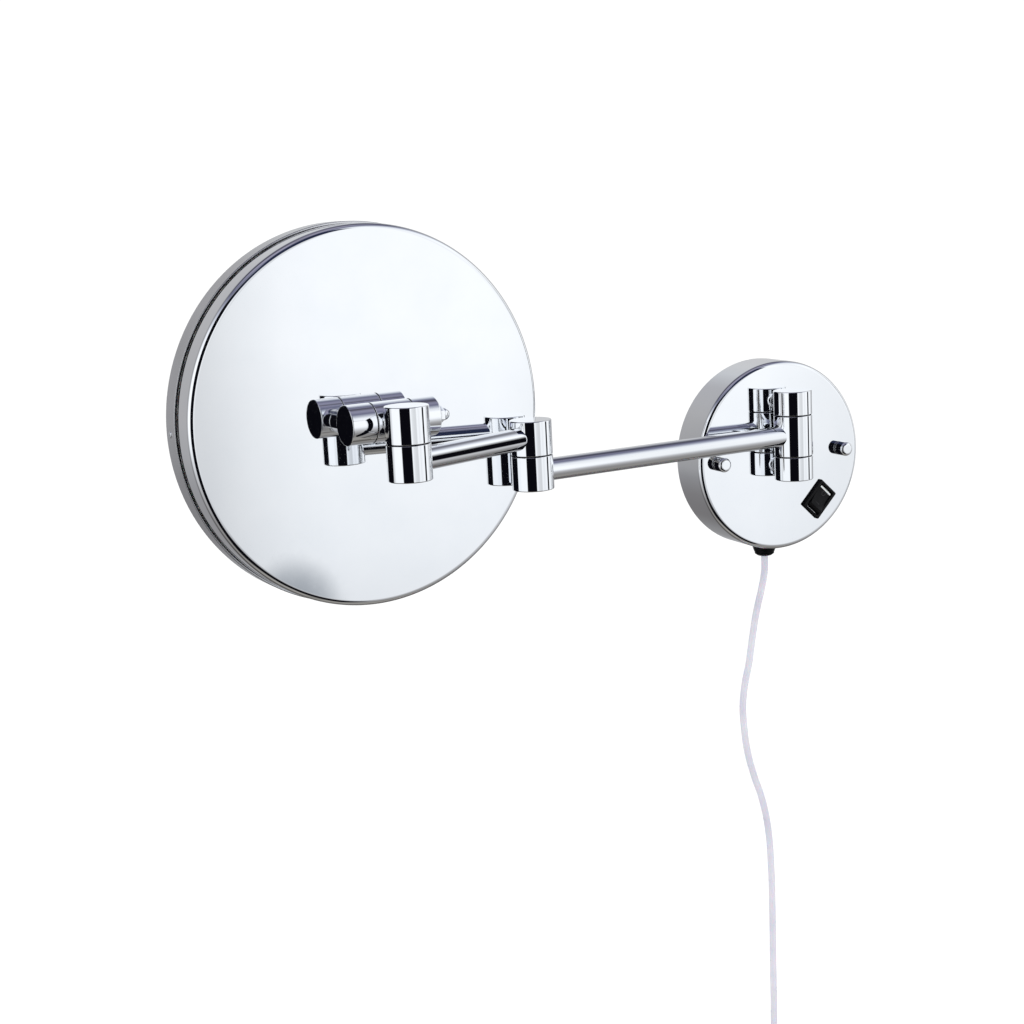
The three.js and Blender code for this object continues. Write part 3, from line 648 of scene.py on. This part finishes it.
# ---- switch ----
def switch():
    centre = Vector((pivot["switch_rock"].x, 0, pivot["switch_rock"].z))
    face = plate_depth + GAP
    long_axis = Matrix.Rotation(-math.radians(SWITCH["angle"]), 4, "Y")
    place = Matrix.Translation(centre) @ long_axis @ TURNS["front"]
    top = face + SWITCH["bezel"]
    outer = (SWITCH["length"] / 2, SWITCH["width"] / 2)
    inner = (SWITCH["reach"] + GAP, SWITCH["key"] / 2 + GAP)
    wall, corner, edge = SWITCH_HOUSING["wall"], SWITCH_HOUSING["corner"], SWITCH_HOUSING["edge"]
    mouth = SWITCH_HOUSING["mouth"]
    back = face - SWITCH_HOUSING["depth"]
    rings = [
        rounded_rectangle(inner[0] + wall, inner[1] + wall, corner, back),
        rounded_rectangle(inner[0] + wall, inner[1] + wall, corner, face),
        rounded_rectangle(*outer, corner, face),
    ]
    steps = 4
    for k in range(steps + 1):
        a = math.pi / 2 * k / steps
        inset, height = edge * (1 - math.cos(a)), top - edge + edge * math.sin(a)
        rings.append(rounded_rectangle(outer[0] - inset, outer[1] - inset, corner, height))
    rings.append(rounded_rectangle(inner[0] + mouth, inner[1] + mouth, corner, top))
    rings.append(rounded_rectangle(*inner, wall, top - mouth))
    rings.append(rounded_rectangle(*inner, wall, face - SWITCH_HOUSING["floor"]))
    piece("switch_bezel", lofted(rings), place, "wall_plate", "black_plastic", "switch_housing")
    rocker(place, -pivot["switch_rock"].y)


def rocker_profile(end, valley):
    """The key's side outline: its root, two round ends, and two dished slopes that meet in the valley."""
    reach, sector = SWITCH["reach"], math.radians(ROCKER["sector"])
    steps = 6
    profile = [ROCKER["root"], (reach, 0)]
    for k in range(1, steps + 1):
        a = sector * k / steps
        profile.append((reach * math.cos(a), reach * math.sin(a)))
    for k in range(1, steps):
        sunk = ROCKER["dish"] * math.sin(math.pi * k / steps)
        profile.append(tuple(end.lerp(valley, k / steps) - Vector((0, sunk))))
    profile.append(tuple(valley))
    return profile + [(-x, z) for x, z in reversed(profile[:-1])]


def rocker(place, height):
    reach, width = SWITCH["reach"], SWITCH["key"]
    sector = math.radians(ROCKER["sector"])
    end = Vector((reach * math.cos(sector), reach * math.sin(sector)))
    valley = Vector((0, ROCKER["crest"]))
    profile = rocker_profile(end, valley)
    mesh = bmesh.new()
    front = [mesh.verts.new((x, -width / 2, z)) for x, z in profile]
    back = [mesh.verts.new((x, width / 2, z)) for x, z in profile]
    mesh.faces.new(front)
    mesh.faces.new(back)
    for k in range(len(profile)):
        n = (k + 1) % len(profile)
        mesh.faces.new((front[k], front[n], back[n], back[k]))
    bmesh.ops.recalc_face_normals(mesh, faces=mesh.faces)
    rims = [e for e in mesh.edges if abs(e.verts[0].co.y - e.verts[1].co.y) < 1e-6]
    corners = [e for e in mesh.edges if e not in rims and e.calc_face_angle(0) > math.radians(25)]
    bmesh.ops.bevel(mesh, geom=rims + corners, offset=ROCKER["edge"], segments=3, affect="EDGES", profile=0.5)
    tilt = Matrix.Rotation(math.radians(SWITCH["tilt"]), 4, "Y")
    tilted = place @ Matrix.Translation((0, 0, height)) @ tilt
    piece("switch_key", mesh, tilted, "switch_key", "black_plastic", "switch_rocker")
    slope = math.atan2(end.y - valley.y, end.x)
    middle = valley.lerp(end, 0.56)
    on_face = {side: Matrix.Translation((side * middle.x, 0, middle.y - 0.17))
               @ Matrix.Rotation(-side * slope, 4, "Y") for side in (-1, 1)}
    off_mark = moved(band(1.25, 1.55, -0.1, 0.05, 0.02, SMALL), on_face[1])
    on_mark = moved(slab(0.3, 3, -0.1, 0.05, 0.14, 0.03), on_face[-1])
    piece("switch_marks", joined(off_mark, on_mark), tilted, "switch_key", "tie")
    # Painted highlight: a white plastic strip on the key's slope near its pressed-in end stands for the light
    # caught there
    edge = valley.lerp(end, 0.9)
    highlight_place = tilted @ Matrix.Translation((edge.x, 0, edge.y - 0.1)) @ Matrix.Rotation(-slope, 4, "Y")
    highlight_strip = slab(1.1, width - 0.9, -0.1, 0.12, 0.3, 0.08)
    piece("switch_painted_highlight", highlight_strip, highlight_place, "switch_key", "white_plastic")


# ---- arms ----
def tube(name, frame_matrix, length, body):
    """An arm's tube between its two knuckles, seated a little way into each."""
    seat = 4
    near = -knuckle_radius + seat
    far = -length + knuckle_radius - seat
    mesh = moved(disk(tube_radius, far, near), at(turn="x"))
    piece(name, mesh, frame_matrix, body, "chrome", name.replace("_bar", "_tube"))


def long_arm():
    mesh = disk(knuckle_radius, -middle_half + SEAM, middle_half - SEAM)
    piece("wall_hinge_middle", mesh, LONG, "long_arm", "chrome", "long_arm_wall_hub")
    length = (pivot["wall_swing"] - pivot["elbow_swing"]).length
    tube("long_arm_bar", LONG, length, "long_arm")
    lower = socketed(-half, half - SEAM)
    piece("elbow_hinge_lower", lower, ELBOW, "long_arm", "chrome", "long_arm_elbow_hub")


def short_arm():
    upper = disk(knuckle_radius, -half + SEAM, half, EDGE, OUTER_EDGE)
    piece("elbow_hinge_upper", upper, SHORT, "short_arm", "chrome", "short_arm_elbow_hub")
    piece("elbow_hinge_screw", pivot_head(-half), ELBOW, "short_arm", "steel", "elbow_pivot_screw")
    length = flat(pivot["elbow_swing"] - pivot["head_swing"]).length
    tube("short_arm_bar", SHORT, length, "short_arm")
    lower = socketed(-half, half - SEAM)
    piece("wrist_hinge_lower", lower, WRIST, "short_arm", "chrome", "short_arm_head_hub")


def head_swivel():
    upper = disk(knuckle_radius, -half + SEAM, half, EDGE, OUTER_EDGE)
    end = BARREL["middle"] / 2 - SEAM
    barrel = moved(disk(BARREL["radius"], -end, end), at(0, tilt_y, 0, "x"))
    piece("wrist_hinge_upper", joined(upper, barrel), HEAD, "head_swivel", "chrome", "head_swivel_block")
    piece("wrist_hinge_screw", pivot_head(-half), WRIST, "head_swivel", "steel", "head_pivot_screw")


# ---- mirror head ----
def tilt_ears():
    """Two round ears beside the swivel's barrel; the left one ends in a faint dome, the right one in a nut."""
    radius = BARREL["radius"]
    inner = BARREL["middle"] / 2 + SEAM
    outer = BARREL["middle"] / 2 + BARREL["ear"]
    for side, low, high in (("left", -outer, -inner), ("right", inner, outer)):
        if side == "left":
            crown, steps = BARREL["crown"], 12
            top = low - crown / 3
            dome = [(radius * 0.96 * k / steps, top + crown * (k / steps) ** 2, circle) for k in range(steps)]
            rim = rounded([(0, top), (radius, top + crown, 0.5), (radius, high, EDGE), (0, high)])
            barrel = moved(spun(dome + rim[1:]), at(turn="x"))
        else:
            barrel = moved(disk(radius, low, high, EDGE, 0.8), at(turn="x"))
        x = BARREL["stub_x"] * (1 if side == "right" else -1)
        stub_length = HEAD_DEPTH["offset"] - GAP
        stub = moved(disk(BARREL["stub_radius"], 0, stub_length, segments=SMALL), at(x, 0, 0, "back"))
        piece(f"tilt_hinge_{side}", joined(barrel, stub), MIRROR, "mirror_head", "chrome", f"tilt_ear_{side}")
    tilt_nut(outer + GAP)


def tilt_nut(start):
    """The washer and the acorn nut on the tilt bolt's end."""
    washer_end = start + TILT_WASHER["thickness"]
    washer = band(TILT_WASHER["bore"], TILT_WASHER["radius"], start, washer_end, 0.15, SMALL)
    piece("tilt_washer_outer", moved(washer, at(turn="x")), MIRROR, "mirror_head", "chrome", "tilt_nut_washer")
    base = washer_end + GAP
    hexed = [(0, base, circle), (3.55, base, circle), (3.9, base + 0.35, hexagon), (4, base + 0.5, hexagon),
             (4, base + 3.9, hexagon), (3.9, base + 4.1, hexagon), (3.6, base + 4.4, circle)]
    dome = [(3.6 * math.cos(a), base + 4.6 + 3.9 * math.sin(a), circle)
            for a in (math.pi / 2 * k / 10 for k in range(10))]
    nut = spun(hexed + dome + [(0, base + 8.5, circle)])
    piece("tilt_acorn_nut", moved(nut, at(turn="x")), MIRROR, "mirror_head", "chrome", "tilt_cap_nut")


def mirror_case():
    """The head's shells and glass, in heights that run from its flat back (0) to its front."""
    place = MIRROR @ at(0, HEAD_DEPTH["offset"], 0, "back")
    casing_low, casing_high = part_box("rear_casing")
    radius = (casing_high.z - casing_low.z) / 2 / MM
    bezel_low, bezel_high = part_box("front_bezel")
    bezel = (bezel_high.z - bezel_low.z) / 2 / MM
    rear, total = HEAD_DEPTH["rear"], HEAD_DEPTH["total"]
    low = rear + HEAD_DEPTH["groove"]

    wall, fillet = CASING["wall"], CASING["fillet"]
    casing = spun(rounded([
        (0, 0), (radius, 0, fillet), (radius, rear, 0.3), (radius - wall, rear, 0.3),
        (radius - wall, wall, fillet - wall), (0, wall),
    ], 10), FINE)
    piece("casing_shell", casing, place, "mirror_head", "chrome", "rear_casing")

    gasket_outer = radius - GASKET["inset"]
    gasket = band(gasket_outer - GASKET["width"], gasket_outer, rear + HOLD, low - HOLD, 0.1, FINE)
    piece("groove_gasket", gasket, place, "mirror_head", "black_nylon", "seam_gasket")

    inner, lip, lip_back = bezel - BEZEL["wall"], BEZEL["lip"], total - BEZEL["lip_thickness"]
    rim = spun(rounded([
        (inner, low, 0.3), (bezel, low, 0.4), (bezel, total, BEZEL["fillet"]), (lip, total, 0.4),
        (lip, lip_back, 0.3), (inner, lip_back),
    ]), FINE, closed=True)
    piece("bezel_ring", rim, place, "mirror_head", "chrome", "front_bezel", finish="satin_chrome")

    light_top = total - LIGHT["recess"]
    light = band(LIGHT["inner"], LIGHT["outer"], light_top - LIGHT["thickness"], light_top, 0.3, FINE)
    piece("light_ring", light, place, "mirror_head", "frosted", "light_diffuser")

    top, glass = total - GLASS["recess"], GLASS["radius"]
    steps = 12
    dish = []
    for k in range(1, steps + 1):
        share = 1 - k / steps
        dish.append((glass * share, top - GLASS["dish"] * (1 - share ** 2), circle))
    back = top - GLASS["edge"]
    edge = rounded([(0, back), (glass, back, 0.3), (glass, top, 0.5), (glass - 3, top - 0.12)])
    piece("magnifying_glass", spun(edge[:-1] + dish, FINE), place, "mirror_head", "silvered", "mirror_glass")
    bezel_screws(place, bezel, low + BEZEL_SCREW["height"])


def bezel_screws(place, bezel, height):
    """Pan-head screws with a cross recess in the rim of the bezel."""
    head, under, deep = 1.9, -0.7, -0.15
    bore = [(0, deep, circle), (1.0, deep, cross), (1.15, 0.45, cross)]
    rim = [(1.3, 0.5, circle), (1.55, 0.42, circle), (1.75, 0.25, circle), (head, -0.1, circle),
           (head, under, circle), (0, under, circle)]
    for i, angle in enumerate(BEZEL_SCREW["angles"]):
        outward = Matrix.Rotation(-math.radians(angle), 4, "Z") @ at(bezel, 0, 0, "x")
        head_place = place @ Matrix.Translation((0, 0, height)) @ outward
        piece(f"rim_screw_{i + 1}", spun(bore + rim, SMALL * 2), head_place, "mirror_head", "steel",
              f"bezel_screw_{i + 1}", finish="chrome")


# ---- gland, tie and plug ----
def gland():
    """A tapered, ribbed gland under the plate's rim."""
    low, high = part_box("cable_gland")
    x, y = (low.x + high.x) / 2 / MM, (low.y + high.y) / 2 / MM
    bottom = low.z / MM
    top = -plate_radius - GAP
    bore = CORD_DIAMETER / 2 + 0.1
    corners = [(bore, top), (bore, bottom, 0.3), (4.6, bottom, 0.5), (6.2, bottom + 1.2, 0.6)]
    for k in range(3):
        z = bottom + 1.8 + k * 1.05
        r = 6.3 + 0.42 * k
        corners += [(r, z, 0.12), (r - 0.35, z + 0.3), (r - 0.35, z + 0.5), (r + 0.15, z + 0.7, 0.12)]
    corners += [(7.7, top, 0.4), (6, top), (6, top + 3), (bore, top + 3)]
    ribbed = spun(rounded(corners, 3), ROUND, closed=True)
    piece("cord_gland", ribbed, at(x, y, 0), "wall_plate", "black_plastic", "cable_gland")


def coil_tie():
    """A flat strap round the bundle of turns, with its two twisted ends."""
    inner = COIL["lane"] + CORD_DIAMETER / 2 + 0.15
    strap = band(inner, inner + 0.9, -2.5, 2.5, 0.3, SMALL)
    ends = []
    for turn in (-1, 1):
        place = at(inner + 0.5, turn * 1.2, 0, "x") @ Matrix.Rotation(turn * 0.25, 4, "X")
        ends.append(moved(slab(1.1, 2.6, 0, 5, 0.4, 0.3), place))
    knot = moved(disk(1.7, -0.2, 2, 0.5, 0.7, SMALL), at(inner + 0.4, 0, 0, "x"))
    angle = math.radians(30)
    place = (Matrix.Translation((coil_x, cord_y, coil_z)) @ Matrix.Rotation(-angle, 4, "Y")
             @ Matrix.Translation((COIL["radius"], 0, 0)))
    tied = joined(strap, knot, *ends)
    return piece("coil_strap", tied, place, "wall_plate", "tie", "cord_tie")


def plug():
    """A two-pin plug with a ribbed strain relief, grip ridges, and pins that are sleeved near the body."""
    low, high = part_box("plug_body")
    x, y = (low.x + high.x) / 2 / MM, (low.y + high.y) / 2 / MM
    half_x, half_y = (high.x - low.x) / 2 / MM, (high.y - low.y) / 2 / MM
    top, bottom = high.z / MM, low.z / MM
    neck = top - PLUG_RELIEF
    rings = []
    ribs = 5
    for k in range(ribs):
        z = top - k * (PLUG_RELIEF - 3) / ribs
        size = 3.4 + 0.42 * k
        for dz, inset in ((0, 0.7), (0.5, 0), (2.2, 0), (2.6, 0.7)):
            rings.append((z - dz, size - inset, size - inset, 0.98))
    body = [(neck + 2.6, 5.2, 4.7), (neck, 6, 5), (neck - 3, 9.6, 5.6), (neck - 7, 13.6, 6.2),
            (neck - 11, 16.2, 6.6), (neck - 14, half_x, half_y), (bottom + 2, half_x, half_y),
            (bottom + 0.7, half_x - 0.3, half_y - 0.3), (bottom + 0.1, half_x - 1, half_y - 1),
            (bottom, half_x - 1.6, half_y - 1.6)]
    rings += [(z, hx, hy, 0.55 if hx > 8 else 0.9) for z, hx, hy in body]
    loops = [rounded_rectangle(hx, hy, min(hx, hy) * share, z) for z, hx, hy, share in rings]
    mesh = lofted(loops)
    grips = []
    for k in range(4):
        z = neck - 13 - k * 2.6
        for side in (-1, 1):
            ridge = moved(slab(9, 1.1, 0, 0.55, 0.5, 0.3), TURNS["front"] if side > 0 else TURNS["back"])
            grips.append(moved(ridge, Matrix.Translation((0, -side * (half_y - 0.35), z))))
    shell = joined(mesh, *grips)
    pieces = [piece("plug_shell", shell, at(x, y, 0), "wall_plate", "white_plastic", "plug_body")]
    for side in ("left", "right"):
        pin_low, pin_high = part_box(f"plug_pin_{side}")
        px = (pin_low.x + pin_high.x) / 2 / MM
        radius = (pin_high.x - pin_low.x) / 2 / MM
        tip, root = pin_low.z / MM, pin_high.z / MM
        split = root - 10
        metal_pin = spun(rounded([(0, tip), (radius, tip, 1.4), (radius, split), (0, split)]), SMALL)
        pieces.append(piece(f"plug_prong_{side}", metal_pin, at(px, y, 0), "wall_plate", "brass",
                            f"plug_pin_{side}"))
        sleeve = spun(rounded([(0, split), (radius - 0.12, split), (radius - 0.02, split + 0.3),
                               (radius - 0.02, root), (0, root)]), SMALL)
        pieces.append(piece(f"prong_sleeve_{side}", sleeve, at(px, y, 0), "wall_plate", "white_plastic"))
    return pieces


# ---- CAD nodes that stay ----
KEPT = {
    "steel": ["wall_bracket", "stud_left", "stud_right", "knuckle_screw_bottom", "knuckle_screw_top",
              "cover_stiffener", "ear_screw_left", "ear_screw_right", "tilt_bolt"],
    "black_nylon": ["wall_washer_bottom", "wall_washer_top", "elbow_washer", "head_washer",
                    "tilt_washer_left", "tilt_washer_right"],
    "black_plastic": ["gland_nut"],
    "white_plastic": ["led_driver", "terminal_block", "mirror_carrier"],
    "board": ["led_ring_board"],
}


def finish_kept_nodes():
    for slot, names in KEPT.items():
        for name in names:
            for entry in frame["nodes"][name].material_slots:
                entry.material = MATERIALS[slot]


# ---- studio ----
def math_node(tree, operation, a, b=0.0):
    node = tree.nodes.new("ShaderNodeMath")
    node.operation = operation
    for socket, value in zip(node.inputs, (a, b)):
        if isinstance(value, (int, float)):
            socket.default_value = value
        else:
            tree.links.new(value, socket)
    return node.outputs[0]


def mix_node(tree, share, a, b):
    node = tree.nodes.new("ShaderNodeMix")
    node.data_type = "RGBA"
    for name, value in (("Factor_Float", share), ("A_Color", a), ("B_Color", b)):
        socket = next(s for s in node.inputs if s.identifier == name)
        if isinstance(value, tuple):
            socket.default_value = value
        else:
            tree.links.new(value, socket)
    return next(s for s in node.outputs if s.identifier == "Result_Color")


def azimuth(degrees):
    """Where a direction lies on the ramp round the studio: 0 is straight out from the wall, plus is right."""
    return (degrees % 360) / 360


def map_node(tree, value, low, high):
    """0 below low and 1 above high, with a soft step between them."""
    node = tree.nodes.new("ShaderNodeMapRange")
    node.interpolation_type = "SMOOTHSTEP"
    tree.links.new(value, node.inputs["Value"])
    node.inputs["From Min"].default_value = low
    node.inputs["From Max"].default_value = high
    return node.outputs[0]


def tint(value):
    """White leans to blue, grey to violet."""
    red = 0.975 if value > 0.6 else 1.0
    return (value * red, value, value * 1.03)


def upward(z):
    """Where a height lies on the ramp that runs from straight down to straight up."""
    return (z + 1) / 2


# What the chrome mirrors, as (azimuth in degrees, brightness) round the studio
WALL_TONES = (
    (0, 0.95), (12, 0.8), (24, 0.76), (26, 0.96), (28, 1.03), (34, 1.06), (37, 0.95), (44, 1.0), (56, 1.1),
    (76, 1.15), (88, 0.95), (110, 0.38), (140, 0.58), (165, 0.64), (181, 0.5), (197, 0.46), (210, 0.39),
    (216, 0.33), (238, 0.37), (262, 1.1), (359.9, 1.1),
)
# and as (height, shade), from the floor at -1 to the ceiling at 1
HEIGHT_SHADES = (
    (-1, (0.34, 0.32, 0.29)), (-0.82, (0.24, 0.225, 0.21)), (-0.68, (0.26, 0.25, 0.245)),
    (-0.46, (0.46, 0.45, 0.45)), (-0.3, (0.68, 0.68, 0.69)), (-0.2, (0.88, 0.885, 0.89)),
    (-0.08, (1, 1, 1)), (0.4, (1, 1, 1)), (0.6, (0.86, 0.87, 0.9)), (0.74, (0.4, 0.41, 0.48)),
    (0.82, (0.15, 0.15, 0.22)), (0.93, (0.28, 0.27, 0.35)), (1, (0.32, 0.3, 0.38)),
)
CLEAR, SOLID = (0, 0, 0), (1, 1, 1)
BLACK, NAVY = (0.003, 0.003, 0.005, 1), (0.02, 0.026, 0.06, 1)
# The dark cloths of the camera's side: from and to azimuth, colour, and cover by height
CLOTHS = (
    (-57, -6, BLACK, ((-0.9, CLEAR), (-0.82, SOLID), (0.7, SOLID), (0.8, CLEAR))),
    (61, 71, BLACK, ((-0.42, CLEAR), (-0.3, SOLID), (0.15, SOLID), (0.46, CLEAR))),
    (-10, 30, NAVY, ((0.34, CLEAR), (0.42, SOLID), (0.84, SOLID), (0.9, CLEAR))),
    (-10, 30, BLACK, ((-0.9, CLEAR), (-0.84, SOLID), (-0.5, SOLID), (-0.42, CLEAR))),
)
# A small grey thing in front of the head, whose soft reflection lies on the disc
STAND = {"direction": (0.434, -0.871, -0.232), "from": 0.99945, "to": 0.99999, "share": 0.62}
STAND_COLOUR = (0.1, 0.13, 0.17, 1)
EVEN_WHITE = (1.08, 1.08, 1.08, 1)


def studio():
    """A white studio with a dark camera side, seen by glossy rays only; the rest of the light is even."""
    world = bpy.data.worlds.new("studio")
    scene.world = world
    world.use_nodes = True
    tree = world.node_tree
    background = tree.nodes["Background"]
    direction = tree.nodes.new("ShaderNodeTexCoord").outputs["Generated"]
    split = tree.nodes.new("ShaderNodeSeparateXYZ")
    tree.links.new(direction, split.inputs[0])
    x, y, z = split.outputs
    turn = math_node(tree, "ARCTAN2", x, math_node(tree, "MULTIPLY", y, -1))
    share = math_node(tree, "FRACT", math_node(tree, "ADD", math_node(tree, "DIVIDE", turn, 2 * math.pi), 1))
    rise = math_node(tree, "MULTIPLY_ADD", z, 0.5)
    rise.node.inputs[2].default_value = 0.5
    walls = ramp_node(tree, share, [(azimuth(degrees), tint(value)) for degrees, value in WALL_TONES])
    shade = ramp_node(tree, rise, [(upward(height), colour) for height, colour in HEIGHT_SHADES])
    lit = tree.nodes.new("ShaderNodeVectorMath")
    lit.operation = "MULTIPLY"
    tree.links.new(walls, lit.inputs[0])
    tree.links.new(shade, lit.inputs[1])
    around = lit.outputs[0]
    # The cloths hang round azimuth 0, where the first ramp ends, so theirs starts on the other side
    opposite = math_node(tree, "FRACT", math_node(tree, "ADD", share, 0.5))
    for start, end, colour, heights in CLOTHS:
        sides = ((start - 1, CLEAR), (start, SOLID), (end, SOLID), (end + 1.5, CLEAR))
        across = ramp_node(tree, opposite, [(azimuth(degrees + 180), level) for degrees, level in sides])
        along = ramp_node(tree, rise, [(upward(height), level) for height, level in heights])
        around = mix_node(tree, math_node(tree, "MULTIPLY", across, along), around, colour)
    towards = tree.nodes.new("ShaderNodeVectorMath")
    towards.operation = "DOT_PRODUCT"
    tree.links.new(direction, towards.inputs[0])
    towards.inputs[1].default_value = Vector(STAND["direction"]).normalized()
    spot = map_node(tree, towards.outputs["Value"], STAND["from"], STAND["to"])
    around = mix_node(tree, math_node(tree, "MULTIPLY", spot, STAND["share"]), around, STAND_COLOUR)
    reflected = tree.nodes.new("ShaderNodeLightPath").outputs["Is Glossy Ray"]
    tree.links.new(mix_node(tree, reflected, EVEN_WHITE, around), background.inputs["Color"])
    background.inputs["Strength"].default_value = 1.0


def pale_floor():
    """A wide pale floor well below the plug, which the chrome doesn't mirror."""
    low = cad_box[0][2] - 0.06
    reach = 40
    mesh = bmesh.new()
    corners = ((-reach, -reach), (reach, -reach), (reach, reach), (-reach, reach))
    mesh.faces.new([mesh.verts.new((x, y, low)) for x, y in corners])
    data = bpy.data.meshes.new("floor")
    mesh.to_mesh(data)
    mesh.free()
    floor = bpy.data.objects.new("floor", data)
    scene.collection.objects.link(floor)
    nodes = Nodes("pale_floor", Specular_IOR_Level=0)
    nodes.clouds(3, 3, (0.96, 0.96, 0.96), (0.98, 0.98, 0.98))
    nodes.link(nodes.spread(nodes.noise(8, 2), 0.7, 0.9), "Roughness")
    data.materials.append(nodes.material)
    floor.visible_glossy = False


def soft_light(name, place, target, size, power):
    data = bpy.data.lights.new(name, "AREA")
    data.shape = "DISK"
    data.size = size
    data.energy = power
    lamp = bpy.data.objects.new(name, data)
    lamp.location = place
    lamp.rotation_euler = (Vector(target) - Vector(place)).to_track_quat("-Z", "Y").to_euler()
    lamp.visible_glossy = False
    scene.collection.objects.link(lamp)


plate_cover()
cap_nuts()
wall_knuckle()
switch()
long_arm()
short_arm()
head_swivel()
tilt_ears()
mirror_case()
gland()
strap = coil_tie()
plug_pieces = plug()
finish_kept_nodes()

studio()
pale_floor()
soft_light("key_light", (1.4, -2.6, 2.2), (-0.1, 0, 0), 1.6, 16)
soft_light("fill_light", (-2.4, -1.6, 1.0), (-0.1, 0, 0), 1.8, 7)
